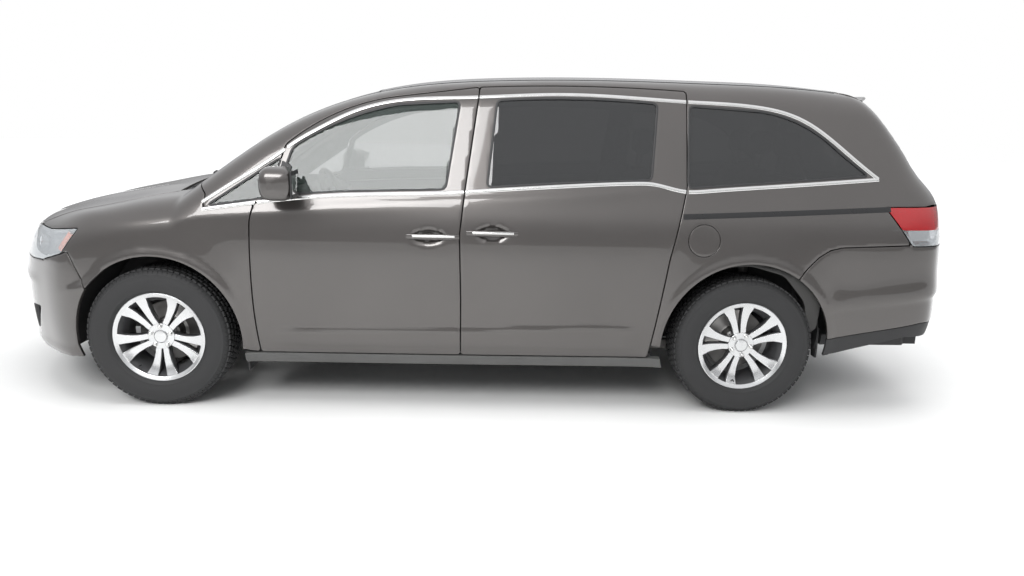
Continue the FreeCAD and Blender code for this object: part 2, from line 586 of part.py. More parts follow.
knuckleShape = knuckleShape.fuse(block(frontX - 26, frontX + 26, 700, 740, 440, 520))
springFoot = strutFoot + strutLine * 0.68
knuckleShape = knuckleShape.fuse(rod(springFoot, strutFoot + strutLine * 0.97, 58))
caliper = Part.makeCylinder(size("brakeRadius") + 24, 66, FreeCAD.Vector(frontX, discY - 36, axle), FreeCAD.Vector(0, 1, 0))
caliper = caliper.cut(Part.makeCylinder(
    size("brakeRadius") - 46, 80, FreeCAD.Vector(frontX, discY - 40, axle), FreeCAD.Vector(0, 1, 0)))
caliper = caliper.cut(drum(size("brakeRadius") + 7, frontX, discY - 20, discY + 20, axle))
caliper = caliper.common(block(frontX - 200, frontX - 60, 600, 900, axle - 70, axle + 90))
bracket = block(frontX - 118, frontX, 722, discY - 20, axle - 20, axle + 20)
knuckleShape = knuckleShape.fuse(caliper).fuse(bracket).removeSplitter()

rearHub = size("trackRear") / 2
beam = drum(30, rearX + 150, 0, 660, 285)
trailing = block(rearX - 40, rearX + 500, 650, 690, 262, 312)
bush = block(rearX + 455, rearX + 500, 650, 700, 262, floorLow - seat)
upright = block(rearX - 50, rearX + 50, 650, 700, 262, 425)
rearCarrier = drum(60, rearX, 650, rearHub - 84, axle).fuse(drum(40, rearX, rearHub - 90, rearHub - 40.3, axle))
damperFoot = FreeCAD.Vector(rearX - 20, 682, 420)
damperTop = FreeCAD.Vector(rearX - 60, 684, 790)
damper = rod(damperFoot, damperTop, 20).fuse(rod(damperFoot + (damperTop - damperFoot) * 0.2, damperTop, 32))
rearAxleShape = joined(beam.fuse(trailing).fuse(bush).fuse(upright).fuse(rearCarrier).fuse(damper))

exhaustPath = [
    FreeCAD.Vector(frontX - 190, -200, 268), FreeCAD.Vector(frontX - 480, -200, 271),
    FreeCAD.Vector(rearX + 560, -330, 271), FreeCAD.Vector(rearX + 320, -330, 222),
    FreeCAD.Vector(rearX - 60, -330, 216), FreeCAD.Vector(rearX - 520, -330, 232)]
exhaustShape = rod(exhaustPath[0], exhaustPath[1], 28)
for start, end in zip(exhaustPath[1:], exhaustPath[2:]):
    exhaustShape = exhaustShape.fuse(Part.makeSphere(28, start)).fuse(rod(start, end, 28))
silencer = Part.makeCylinder(84, 420, FreeCAD.Vector(rearX - 560, -500, 240), FreeCAD.Vector(0, 1, 0))
tailPipe = rod(FreeCAD.Vector(rearX - 560, -440, 240), FreeCAD.Vector(tailX + 60, -500, 300), 26)
exhaustShape = exhaustShape.fuse(silencer).fuse(tailPipe)
for hangerX, hangerY in ((rearX + 600, -330), (rearX - 560, -300)):
    exhaustShape = exhaustShape.fuse(Part.makeCylinder(
        8, floorLow - seat - 260, FreeCAD.Vector(hangerX, hangerY, 260)))
exhaustShape = exhaustShape.fuse(Part.makeCylinder(34, 25.7, FreeCAD.Vector(frontX - 215, -200, 274)))

# Wheels: tyre, and a rim of five paired spokes on a barrel with its brake disc
tyreHalf = size("tyreWidth") / 2
rimHalf = size("rimWidth") / 2
beadSeat = size("rimRadius") - 12
bead = rimHalf - 12 - seat
tyreCut = [
    (-bead, beadSeat + seat), (bead, beadSeat + seat), (bead, size("rimRadius") + seat),
    (rimHalf + 2, size("rimRadius") + 3), (tyreHalf, axle - 66, tyreHalf - 10, axle - 22),
    (tyreHalf - 16, axle - 8, tyreHalf - 36, axle), (36 - tyreHalf, axle),
    (16 - tyreHalf, axle - 8, 10 - tyreHalf, axle - 22),
    (-tyreHalf, axle - 66, -rimHalf - 2, size("rimRadius") + 3), (-bead, size("rimRadius") + seat)]
rimCut = [
    (rimHalf - 2, 206), (rimHalf, size("rimRadius")), (rimHalf - 12, size("rimRadius")),
    (rimHalf - 12, beadSeat), (12 - rimHalf, beadSeat), (12 - rimHalf, size("rimRadius")),
    (-rimHalf, size("rimRadius")), (-rimHalf, 212), (-20, 212), (10, 200), (rimHalf - 30, 200)]


def spun(points):
    """A ring about the wheel's axis from its half section, given as places across and radii."""
    face = Part.Face(wire(points, lambda across, radius: FreeCAD.Vector(0, across, radius)))
    return face.revolve(FreeCAD.Vector(0, 0, 0), FreeCAD.Vector(0, 1, 0), 360)


def spoked(face):
    """Five pairs of tapering spokes, cut to the dished face."""
    spokes = None
    for number in range(5):
        for lean in (-1, 1):
            points = [
                (lean * 5, 40), (lean * 9, 207), (lean * 39, 204), (lean * 27, 120), (lean * 34, 40)]
            spoke = Part.Face(wire(points, lambda x, z: FreeCAD.Vector(x, -40, z)))
            spoke = spoke.extrude(FreeCAD.Vector(0, 160, 0))
            spoke.rotate(FreeCAD.Vector(0, 0, 0), FreeCAD.Vector(0, 1, 0), 72 * number)
            spokes = spoke if spokes is None else spokes.fuse(spoke)
    return spokes.common(face)


dish = spun([
    (66, 0), (66, 60), (74, 140, rimHalf - 8, 207), (rimHalf - 44, 207), (34, 140, 22, 60), (22, 0)])
hub = spun([(20, 0), (66, 0), (66, 72), (30, 76), (20, 74)])
rim = spun(rimCut).fuse(spoked(dish)).fuse(hub)
for number in range(5):
    angle = math.radians(72 * number + 36)
    seatPoint = FreeCAD.Vector(57 * math.sin(angle), 50, 57 * math.cos(angle))
    rim = rim.cut(Part.makeCylinder(13, 40, seatPoint, FreeCAD.Vector(0, 1, 0)))
disc = spun([(-66 - size("brakeWall") / 2, 62), (-66 - size("brakeWall") / 2, size("brakeRadius")),
             (size("brakeWall") / 2 - 66, size("brakeRadius")), (size("brakeWall") / 2 - 66, 78),
             (20, 78), (20, 0), (-40, 0), (-40, 62)])
rim = rim.fuse(disc).removeSplitter()
tyre = spun(tyreCut)
wheelPlaces = [
    ("front_left", frontX, hubY, 36, 0), ("front_right", frontX, -hubY, 36, 180),
    ("rear_left", rearX, rearHub, 10, 0), ("rear_right", rearX, -rearHub, 10, 180)]

# Cabin
wheelX = frontX - 800
wheelHeight = 1010
driverY = 370
dashShape = sideZone([
    (frontX - 482 - seat, 640), (frontX - 482 - seat, belt - 30), (frontX - 580, belt - 8, frontX - 660, belt - 40),
    (frontX - 700, 960), (frontX - 640, 860), (frontX - 620, 640)], -760, 760)
dashForm = joined(bodyForm(size("doorWall") + 40).common(block(frontX - 800, frontX - 430, 0, 1000, 600, 1200)))
dashShape = dashShape.common(dashForm)
dashShape = dashShape.fuse(block(frontX - 760, frontX - 600, -110, 110, floorTop, 900))
columnWay = FreeCAD.Vector(-0.92, 0, 0.39).normalize()
columnEnd = FreeCAD.Vector(wheelX, driverY, wheelHeight) - columnWay * (30 + seat)
columnStart = columnEnd - columnWay * 130
dashShape = dashShape.fuse(rod(columnStart, columnEnd, 34))
gripRadius = size("wheelRimRadius")
steering = Part.makeTorus(gripRadius, 15)
steering = steering.fuse(Part.makeCylinder(62, 34, FreeCAD.Vector(0, 0, -30)))
for angle in (0, 110, 250):
    spoke = Part.makeBox(gripRadius, 34, 14, FreeCAD.Vector(0, -17, -18))
    spoke.rotate(FreeCAD.Vector(0, 0, 0), FreeCAD.Vector(0, 0, 1), angle)
    steering = steering.fuse(spoke)


def seatShape(x, y, width, heightAdd=0):
    """Cushion, back and head rest of one place."""
    halfWidth = width / 2
    cushion = block(x - 60, x + 470, y - halfWidth, y + halfWidth, 560, 700)
    stand = block(x + 20, x + 400, y - halfWidth + 60, y + halfWidth - 60, floorTop, 560)
    back = sideZone([
        (x - 60, 600), (x + 60, 690), (x - 10, 900, x - 90, 1230), (x - 130, 1270), (x - 190, 1240),
        (x - 170, 900, x - 60, 600)], y - halfWidth, y + halfWidth)
    head = block(x - 200, x - 110, y - 130, y + 130, 1300, 1460)
    posts = block(x - 160, x - 148, y - 60, y - 48, 1240, 1310).fuse(
        block(x - 160, x - 148, y + 48, y + 60, 1240, 1310))
    whole = cushion.fuse(stand).fuse(back).fuse(head).fuse(posts)
    return whole


frontSeats = both(seatShape(frontX - 1440, driverY, 500))
middleSeats = both(seatShape(frontX - 2380, driverY, 480))
thirdRow = joined(seatShape(rearX - 190, 313, 626).common(block(-FAR, FAR, 0, FAR, 0, FAR)))

# Mirror on a foot at the window's front corner
mirrorShell = Part.makeBox(120, 215, 165)
mirrorShell = mirrorShell.makeFillet(38, mirrorShell.Edges)
mirrorShell.translate(FreeCAD.Vector(frontX - 690, 925, belt - 22))
mirrorFoot = block(frontX - 660, frontX - 600, 880, 960, belt - 2, belt + 30)
mirrorShape = mirrorShell.fuse(mirrorFoot).cut(outer)
mirrorShape = solidsOver(mirrorShape)

leftOnly = {
    "front_door": frontDoorShape, "front_door_glass": frontDoorGlass, "mirror": mirrorShape,
    "sliding_door": slidingDoorShape, "knuckle": knuckleShape}
for name, shape in leftOnly.items():
    keep(name + "_left", shape)
    keep(name + "_right", mirrored(shape))
keep("body_side_left", sideShape)
keep("body_side_right", mirrored(solidsOver(sidePiece)))
for name, shape in {
        "sliding_door_glass": both(slidingGlass), "fenders": both(fenderShape), "headlamps": both(headlampShape),
        "tail_lamps": both(tailLampShape), "wheel_liners": Part.makeCompound([
            frontLiner, rearLiner, mirrored(frontLiner), mirrored(rearLiner)]),
        "quarter_glass": Part.makeCompound([quarterGlass, smallGlass, mirrored(quarterGlass), mirrored(smallGlass)]),
        "hood": hoodShape, "roof": roofShape, "windshield": shieldShape, "cowl": cowlShape,
        "front_bumper": frontBumper, "grille": grilleShape, "rear_bumper": rearBumper, "tailgate": hatchShape,
        "tailgate_glass": hatchGlass, "fuel_door": fuelDoor, "body_frame": frameShape,
        "front_suspension": suspensionShape, "rear_axle": rearAxleShape, "exhaust": exhaustShape,
        "dashboard": dashShape, "front_seats": frontSeats, "middle_seats": middleSeats,
        "third_row_seat": thirdRow}.items():
    keep(name, shape)
for name, x, y, turn, side in wheelPlaces:
    for kind, shape in (("tyre", tyre), ("rim", rim)):
        wheel = keep(f"{kind}_{name}", shape)
        spin = FreeCAD.Rotation(FreeCAD.Vector(0, 1, 0), turn)
        facing = FreeCAD.Rotation(FreeCAD.Vector(0, 0, 1), side)
        wheel.Placement = FreeCAD.Placement(FreeCAD.Vector(x, y, axle), facing.multiply(spin))
steeringWheel = keep("steering_wheel", steering)
steeringWheel.Placement = FreeCAD.Placement(
    FreeCAD.Vector(wheelX, driverY, wheelHeight),
    FreeCAD.Rotation(FreeCAD.Vector(0, 0, 1), columnWay))
tank.Label = "fuel_tank"
pieces += [engine, tank]

doc.recompute()
for thing in doc.Objects:
    if "Invalid" in thing.State or "Error" in thing.State:
        raise RuntimeError(f"{thing.Label} did not build")
os.makedirs("parts", exist_ok=True)
for piece in pieces:
    shape = piece.Shape
    if shape.isNull() or not shape.isValid() or not shape.Solids:
        raise RuntimeError(f"{piece.Label} has no valid shape")
    shape.exportStep(f"parts/{piece.Label}.step")
print(len(pieces), "pieces")
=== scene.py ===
import math

import bmesh
import bpy
import numpy as np
from mathutils import Matrix, Vector, geometry


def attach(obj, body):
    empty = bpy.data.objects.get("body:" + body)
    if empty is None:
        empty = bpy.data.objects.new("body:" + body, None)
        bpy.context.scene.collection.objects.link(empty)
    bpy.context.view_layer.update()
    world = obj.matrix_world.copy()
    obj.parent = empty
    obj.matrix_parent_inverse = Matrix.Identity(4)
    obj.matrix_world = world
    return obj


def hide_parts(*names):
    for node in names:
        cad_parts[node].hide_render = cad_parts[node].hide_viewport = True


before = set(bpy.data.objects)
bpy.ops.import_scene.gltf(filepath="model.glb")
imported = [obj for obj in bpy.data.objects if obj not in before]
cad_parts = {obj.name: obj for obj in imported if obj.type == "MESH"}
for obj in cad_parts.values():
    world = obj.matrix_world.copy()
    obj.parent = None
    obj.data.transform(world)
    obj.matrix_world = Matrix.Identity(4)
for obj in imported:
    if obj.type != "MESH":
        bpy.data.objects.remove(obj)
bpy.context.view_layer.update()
scene = bpy.context.scene
scene.view_settings.view_transform = "Standard"
print("stage: frame loaded")

# Places in millimetres, +X forward, +Y left, +Z up
van = {"nose": 2577.0, "tail": -2577.0, "frontAxle": 1567.0, "rearAxle": -1433.0, "half": 1003.0,
       "roof": 1737.0, "bow": 80000.0, "crown": 5237.0, "axleHeight": 362.0}
panels = {"gap": 5.0, "corner": 14.0, "edge": 2.4, "step": 16.0, "sharp": 42.0, "edgeReach": 120.0}
frontX, rearX, half, noseX, tailX, roof = (van[k] for k in ("frontAxle", "rearAxle", "half", "nose", "tail", "roof"))
# Wheel openings: x, height, radius
arches = ((frontX - 7, 368.0, 420.0), (rearX, 368.0, 436.0))


# Smooth curve through knots, straight beyond both ends
def spline(knots):
    xs, ys = (np.array(v, float) for v in zip(*knots))
    n = len(xs)
    h = np.diff(xs)
    a, b = np.zeros((n, n)), np.zeros(n)
    a[0, 0] = a[-1, -1] = 1
    for i in range(1, n - 1):
        a[i, i - 1], a[i, i], a[i, i + 1] = h[i - 1], 2 * (h[i - 1] + h[i]), h[i]
        b[i] = 3 * ((ys[i + 1] - ys[i]) / h[i] - (ys[i] - ys[i - 1]) / h[i - 1])
    c = np.linalg.solve(a, b)
    slope = (ys[1:] - ys[:-1]) / h - h * (2 * c[:-1] + c[1:]) / 3
    cubic = (c[1:] - c[:-1]) / (3 * h)
    endSlope = slope[-1] + h[-1] * (2 * c[-2] + 3 * cubic[-1] * h[-1])

    def value(x):
        x = np.asarray(x, float)
        i = np.clip(np.searchsorted(xs, x) - 1, 0, n - 2)
        t = x - xs[i]
        out = ys[i] + t * (slope[i] + t * (c[i] + t * cubic[i]))
        out = np.where(x < xs[0], ys[0] + (x - xs[0]) * slope[0], out)
        return np.where(x > xs[-1], ys[-1] + (x - xs[-1]) * endSlope, out)
    return value


def smoothMax(a, b, k):
    h = np.maximum(k - np.abs(a - b), 0) / k
    return np.maximum(a, b) + h * h * k / 4


def step01(x, low, high):
    t = np.clip((x - low) / (high - low), 0, 1)
    return t * t * (3 - 2 * t)


flankCurve = spline([(100, -80), (230, -60), (330, -37), (420, -19), (520, -6.5), (650, 0), (760, 0), (860, -3),
                     (960, -13), (1030, -28), (1100, -53), (1200, -89), (1345, -141), (1470, -186), (1590, -229),
                     (1700, -269), (1800, -305)])
cabinCurve = spline([(-2300, 1640), (-2093, 1682), (-1905, 1705), (-1703, 1722), (-1300, 1733), (-833, 1737),
                     (-450, 1733), (-93, 1719), (237, 1691), (560, 1628), (800, 1545), (1021, 1432), (1220, 1299),
                     (1417, 1156)])
hoodCurve = spline([(1200, 1160), (1417, 1144), (1482, 1136), (1637, 1115), (1807, 1081), (1997, 1041), (2189, 988),
                    (2392, 912), (2480, 866), (2560, 810)])
noseHeights = spline([(100, -46), (240, -24), (400, -4), (520, 0), (600, 0), (715, -12), (800, -42), (900, -92),
                      (1000, -160)])
nosePlan = spline([(-1008, -730), (-960, -595), (-883, -457), (-800, -360), (-710, -268), (-600, -181), (-450, -95),
                   (-300, -38), (-150, -5), (0, 6), (150, -5), (300, -38), (450, -95), (600, -181), (710, -268),
                   (800, -360), (883, -457), (960, -595), (1008, -730)])
tailHeights = spline([(200, 44), (370, 27), (460, 3), (600, 0), (720, 1), (830, 6), (950, 20), (1050, 42),
                      (1160, 96), (1245, 180), (1372, 277), (1498, 373), (1645, 484), (1760, 575)])
tailPlan = spline([(-1013, 377), (-970, 245), (-893, 135), (-780, 60), (-600, 30), (-400, 10), (-200, -2), (0, -6),
                   (200, -2), (400, 10), (600, 30), (780, 60), (893, 135), (970, 245), (1013, 377)])
creaseCurve = spline([(-1300, 1200), (-729, 1147), (-385, 1118), (35, 1093), (631, 1054), (1179, 1005), (1612, 957),
                      (1843, 925), (2000, 900)])
sillTopCurve = spline([(-1000, 452), (-675, 462), (37, 435), (869, 418), (1100, 400)])
pulls = {"places": ((196.0, 911.0), (-118.0, 932.0)), "length": 88.0, "height": 38.0, "depth": 26.0}


# What the flanks carry besides their plain curve: shoulder crease, sill swage, lips, hand recesses
def sculpt(x, z):
    rise = z - creaseCurve(x)
    ridge = 5.0 * np.exp(-(rise / np.where(rise > 0, 13.0, 48.0)) ** 2)
    ridge *= step01(x, -1250, -700) * (1 - step01(x, 1780, 1990))
    top = z - sillTopCurve(x)
    swage = 10.0 * (1 - step01(top, -4, 9)) * step01(z, 300, 356)
    swage *= step01(x, -915, -800) * (1 - step01(x, 860, 1030))
    out = ridge + swage
    for ax, az, radius in arches:
        r = np.hypot(x - ax, z - az) - radius
        out = out + 7.0 * (1 - step01(r, 26, 40)) + 9.0 * np.exp(-(r / 110) ** 2)
    for px, pz in pulls["places"]:
        q = 1 - ((x - px) / pulls["length"]) ** 2 - ((z - pz) / pulls["height"]) ** 2
        out = out - pulls["depth"] * step01(q, 0, 0.9)
    return out


def flankAt(x, z):
    return half + flankCurve(z) - x * x / (2 * van["bow"]) + sculpt(x, z)


def outerForm(p):
    x, y, z = p[:, 0], np.abs(p[:, 1]), p[:, 2]
    lean = (flankCurve(z + 2) - flankCurve(z - 2)) / 4
    side = (y - flankAt(x, z)) / np.sqrt(1 + lean * lean)
    crown = y * y / (2 * van["crown"])
    rise = (cabinCurve(x + 2) - cabinCurve(x - 2)) / 4
    top = (z - cabinCurve(x) + crown) / np.sqrt(1 + rise * rise)
    fall = (hoodCurve(x + 2) - hoodCurve(x - 2)) / 4
    hoodTop = (z - hoodCurve(x) + crown) / np.sqrt(1 + fall * fall)
    ny, nz = (nosePlan(y + 2) - nosePlan(y - 2)) / 4, (noseHeights(z + 2) - noseHeights(z - 2)) / 4
    front = (x - noseX - nosePlan(y) - noseHeights(z)) / np.sqrt(1 + ny * ny + nz * nz)
    ty, tz = (tailPlan(y + 2) - tailPlan(y - 2)) / 4, (tailHeights(z + 2) - tailHeights(z - 2)) / 4
    back = (tailX + tailPlan(y) + tailHeights(z) - x) / np.sqrt(1 + ty * ty + tz * tz)
    cabin = np.maximum(smoothMax(smoothMax(side, top, 110.0), back, 70.0), front)
    lower = smoothMax(smoothMax(side, hoodTop, 140.0), front, 70.0)
    return np.minimum(cabin, smoothMax(lower, back, 70.0))


def normalsAt(p):
    n = np.stack([outerForm(p + d) - outerForm(p - d) for d in np.eye(3) * 1.5], 1)
    return n / np.linalg.norm(n, axis=1)[:, None]


# Views that flatten the form: from a direction, or round an upright axis
class Aim:
    def __init__(self, azimuth, elevation):
        a, e = math.radians(azimuth), math.radians(elevation)
        self.out = np.array([math.cos(e) * math.cos(a), math.cos(e) * math.sin(a), math.sin(e)])
        self.right = np.array([-math.sin(a), math.cos(a), 0.0])
        self.up = np.cross(self.out, self.right)

    def rays(self, uv):
        return uv[:, :1] * self.right + uv[:, 1:] * self.up, np.tile(self.out, (len(uv), 1))

    def flat(self, p):
        return np.stack([p @ self.right, p @ self.up], 1)


class Wrap:
    def __init__(self, x, sense, radius=900.0):
        self.x, self.sense, self.radius = x, sense, radius

    def rays(self, uv):
        a = uv[:, 0] / self.radius
        out = np.stack([self.sense * np.cos(a), np.sin(a) * self.sense, 0 * a], 1)
        return np.stack([0 * a + self.x, 0 * a, uv[:, 1]], 1), out

    def flat(self, p):
        a = np.arctan2(p[:, 1] * self.sense, (p[:, 0] - self.x) * self.sense)
        return np.stack([a * self.radius, p[:, 2]], 1)


sideView, topView, backView, frontView = Aim(90, 0), Aim(0, 90), Aim(180, 0), Aim(0, 0)


# Where rays from afar meet the form: coarse steps, then halving
def landed(view, uv):
    foot, out = view.rays(np.asarray(uv, float))
    far = np.linspace(3300.0, 0.0, 111)
    t = np.zeros(len(foot))
    found = np.zeros(len(foot), bool)
    for a, b in zip(far, far[1:]):
        hit = ~found & (outerForm(foot + out * b) < 0)
        t[hit] = a
        found |= hit
        if found.all():
            break
    low, high = t - far[0] / (len(far) - 1), t
    for _ in range(24):
        mid = (low + high) / 2
        inside = outerForm(foot + out * mid[:, None]) < 0
        low, high = np.where(inside, mid, low), np.where(inside, high, mid)
    return foot + out * low[:, None]


# Outlines: pairs are straight runs, four numbers an arc by way of the first pair
def trace(points, spacing=9.0, corner=None, closed=True):
    corner = panels["corner"] if corner is None else corner
    steps = list(points)
    if closed and math.dist(steps[0][-2:], steps[-1][-2:]) > 1e-6:
        steps.append(tuple(steps[0][-2:]))
    path, marks = [np.array(steps[0][-2:], float)], [0]
    for stepTo in steps[1:]:
        start, end = path[-1], np.array(stepTo[-2:], float)
        if len(stepTo) == 4:
            mid = np.array(stepTo[:2], float)
            a, b = mid - start, end - start
            turn = a[0] * b[1] - a[1] * b[0]
            centre = start + np.array([b[1] * a @ a - a[1] * b @ b, a[0] * b @ b - b[0] * a @ a]) / (2 * turn)
            r = np.linalg.norm(start - centre)
            t0, t1 = (math.atan2(*(q - centre)[::-1]) for q in (start, end))
            sense = 1 if turn > 0 else -1
            swing = (sense * (t1 - t0)) % (2 * math.pi)
            count = max(int(r * swing / spacing), 3)
            t = t0 + sense * swing * np.arange(1, count + 1) / count
            path += list(centre + r * np.stack([np.cos(t), np.sin(t)], 1))
        else:
            count = max(int(np.linalg.norm(end - start) / spacing), 1)
            path += [start + (end - start) * k / count for k in range(1, count + 1)]
        marks.append(len(path) - 1)
    path = np.array(path)
    if closed:
        path, marks = path[:-1], marks[:-1]
    return rounded(path, marks if closed else marks[1:-1], corner)


def rounded(path, marks, radius):
    n = len(path)
    gone, put = set(), {}
    for m in marks:
        before, after = path[(m - 1) % n] - path[m], path[(m + 1) % n] - path[m]
        cosine = before @ after / (np.linalg.norm(before) * np.linalg.norm(after))
        if cosine < -0.985 or radius <= 0:
            continue
        ends = []
        for sense in (-1, 1):
            k, run = m, 0.0
            while True:
                q = path[(k + sense) % n]
                length = np.linalg.norm(q - path[k % n])
                if run + length > radius:
                    ends.append(path[k % n] + (q - path[k % n]) * (radius - run) / length)
                    break
                run += length
                k += sense
                gone.add(k % n)
        a, b, c = ends[0], path[m], ends[1]
        put[m] = [(1 - t) ** 2 * a + 2 * t * (1 - t) * b + t * t * c for t in np.linspace(0, 1, 7)]
        gone.add(m)
    out = []
    for k in range(n):
        if k in put:
            out += put[k]
        elif k not in gone:
            out.append(path[k])
    return np.array(out)


def signedArea(loop):
    nxt = np.roll(loop, -1, 0)
    return 0.5 * float(np.sum(loop[:, 0] * nxt[:, 1] - nxt[:, 0] * loop[:, 1]))


# An outline moved outwards
def grown(loop, amount):
    if amount == 0:
        return loop
    t = np.roll(loop, -1, 0) - np.roll(loop, 1, 0)
    t /= np.maximum(np.linalg.norm(t, axis=1), 1e-9)[:, None]
    sense = 1 if signedArea(loop) > 0 else -1
    return loop + amount * sense * np.stack([t[:, 1], -t[:, 0]], 1)


# Even places along a line
def spaced(loop, spacing, closed=True):
    ring = np.vstack([loop, loop[:1]]) if closed else loop
    run = np.concatenate([[0], np.cumsum(np.linalg.norm(np.diff(ring, axis=0), axis=1))])
    count = max(int(round(run[-1] / spacing)), 4)
    at = np.linspace(0, run[-1], count + 1)[:-1] if closed else np.linspace(0, run[-1], count + 1)
    return np.stack([np.interp(at, run, ring[:, k]) for k in range(ring.shape[1])], 1)


def within(points, loop):
    inside = np.zeros(len(points), bool)
    px, py = points[:, 0], points[:, 1]
    for (x0, y0), (x1, y1) in zip(loop, np.roll(loop, -1, 0)):
        if y0 != y1:
            inside ^= ((y0 > py) != (y1 > py)) & (px < (x1 - x0) * (py - y0) / (y1 - y0) + x0)
    return inside


# Distance to the nearest outline, no more than the reach
def nearness(points, loops, reach):
    best = np.full(len(points), reach)
    for loop in loops:
        for a, b in zip(loop, np.roll(loop, -1, 0)):
            low, high = np.minimum(a, b) - reach, np.maximum(a, b) + reach
            near = np.nonzero((points[:, 0] > low[0]) & (points[:, 0] < high[0])
                              & (points[:, 1] > low[1]) & (points[:, 1] < high[1]))[0]
            if len(near):
                d = b - a
                t = np.clip(((points[near] - a) @ d) / max(d @ d, 1e-12), 0, 1)
                best[near] = np.minimum(best[near], np.linalg.norm(points[near] - a - t[:, None] * d, axis=1))
    return best


# Fills outlines with square cells and joins them to the outline with triangles
def filled(outers, holes, step):
    loops = list(outers) + list(holes)

    def belongs(q):
        inside = np.zeros(len(q), bool)
        for loop in outers:
            inside |= within(q, loop)
        for loop in holes:
            inside &= ~within(q, loop)
        return inside
    low, high = np.min([l.min(0) for l in loops], 0), np.max([l.max(0) for l in loops], 0)
    nx, ny = (int(math.ceil(s / step)) + 1 for s in high - low)
    gx, gy = np.meshgrid(low[0] + step * (np.arange(nx) + 0.37), low[1] + step * (np.arange(ny) + 0.37), indexing="ij")
    grid = np.stack([gx.ravel(), gy.ravel()], 1)
    keep = belongs(grid)
    gapTo = nearness(grid, loops, step)
    keep &= gapTo > 0.42 * step
    index = np.arange(nx * ny).reshape(nx, ny)
    corners = np.stack([index[:-1, :-1], index[1:, :-1], index[1:, 1:], index[:-1, 1:]], -1).reshape(-1, 4)
    centres = grid[corners[:, 0]] + step / 2
    cells = keep[corners].all(1)
    cells &= nearness(centres, loops, step) > 0.75 * step
    quads = corners[cells]
    used = np.unique(quads)
    count = np.zeros(nx * ny, int)
    np.add.at(count, quads.ravel(), 1)
    band = keep & (count < 4)
    sides = np.concatenate([quads[:, [k, (k + 1) % 4]] for k in range(4)]) if len(quads) else np.zeros((0, 2), int)
    keys = np.sort(sides, 1)
    _, back, number = np.unique(keys, axis=0, return_inverse=True, return_counts=True)
    border = keys[number[back.ravel()] == 1]
    bandIds = np.nonzero(band)[0]
    slot = {g: k for k, g in enumerate(bandIds)}
    points = [Vector(grid[g]) for g in bandIds]
    edges = [(slot[a], slot[b]) for a, b in border]
    for loop in loops:
        base = len(points)
        points += [Vector(q) for q in loop]
        edges += [(base + k, base + (k + 1) % len(loop)) for k in range(len(loop))]
    verts, _, faces, origVerts, _, _ = geometry.delaunay_2d_cdt(points, edges, [], 0, 1e-4)
    verts = np.array([v[:] for v in verts])
    tris = np.array([f for f in faces if len(f) == 3], int)
    centre = verts[tris].mean(1)
    good = belongs(centre)
    cell = np.floor((centre - grid[0]) / step).astype(int)
    cellKept = np.zeros((nx - 1, ny - 1), bool)
    cellKept.ravel()[np.nonzero(cells)[0]] = True
    ok = (cell >= 0).all(1) & (cell[:, 0] < nx - 1) & (cell[:, 1] < ny - 1)
    inCell = np.zeros(len(centre), bool)
    inCell[ok] = cellKept[cell[ok, 0], cell[ok, 1]]
    a, b, c = (verts[tris[:, k]] for k in range(3))
    area = np.abs((b[:, 0] - a[:, 0]) * (c[:, 1] - a[:, 1]) - (b[:, 1] - a[:, 1]) * (c[:, 0] - a[:, 0]))
    tris = tris[good & ~inCell & (area > 1e-3)]
    place = np.full(nx * ny, -1)
    for k, orig in enumerate(origVerts):
        for o in orig:
            if o < len(bandIds):
                place[bandIds[o]] = k
    rest = np.array([g for g in used if place[g] < 0], int)
    place[rest] = len(verts) + np.arange(len(rest))
    allVerts = np.vstack([verts, grid[rest]]) if len(rest) else verts
    polys = [list(t) for t in tris] + [list(place[q]) for q in quads]
    touched = np.unique([k for poly in polys for k in poly])
    short = np.full(len(allVerts), -1)
    short[touched] = np.arange(len(touched))
    return allVerts[touched], unpinched([[int(short[k]) for k in poly] for poly in polys])


# Where a sheet touches itself at one corner, the smaller fan of faces there is taken off
def unpinched(polys):
    for _ in range(4):
        starts = np.array([a for a, _ in borders(polys)])
        ids, counts = np.unique(starts, return_counts=True)
        pinched = set(ids[counts > 1].tolist())
        if not pinched:
            break
        dropped = set()
        for v in pinched:
            around = [k for k, poly in enumerate(polys) if v in poly]
            fans = []
            for k in around:
                mates = [fan for fan in fans if any(len(set(polys[k]) & set(polys[other])) > 1 for other in fan)]
                fans = [fan for fan in fans if fan not in mates] + [sum(mates, [k])]
            if len(fans) > 1:
                dropped |= set(min(fans, key=len))
        polys = [poly for k, poly in enumerate(polys) if k not in dropped]
    return polys


def borders(polys):
    seen = {}
    for poly in polys:
        for a, b in zip(poly, poly[1:] + poly[:1]):
            seen[(a, b)] = seen.get((a, b), 0) + 1
    return [(a, b) for a, b in seen if (b, a) not in seen]


# A mesh from points, faces and the marks that say how far each point is from an edge
def meshObject(name, data, material):
    verts, polys, marks = data
    mesh = bpy.data.meshes.new(name)
    mesh.from_pydata([tuple(v) for v in np.asarray(verts) * 0.001], [], polys)
    mesh.validate()
    mesh.polygons.foreach_set("use_smooth", [True] * len(mesh.polygons))
    mesh.set_sharp_from_angle(angle=math.radians(panels["sharp"]))
    attribute = mesh.attributes.new("edge", "FLOAT", "POINT")
    attribute.data.foreach_set("value", np.asarray(marks, np.float32))
    mesh.materials.append(material)
    obj = bpy.data.objects.new(name, mesh)
    scene.collection.objects.link(obj)
    return obj


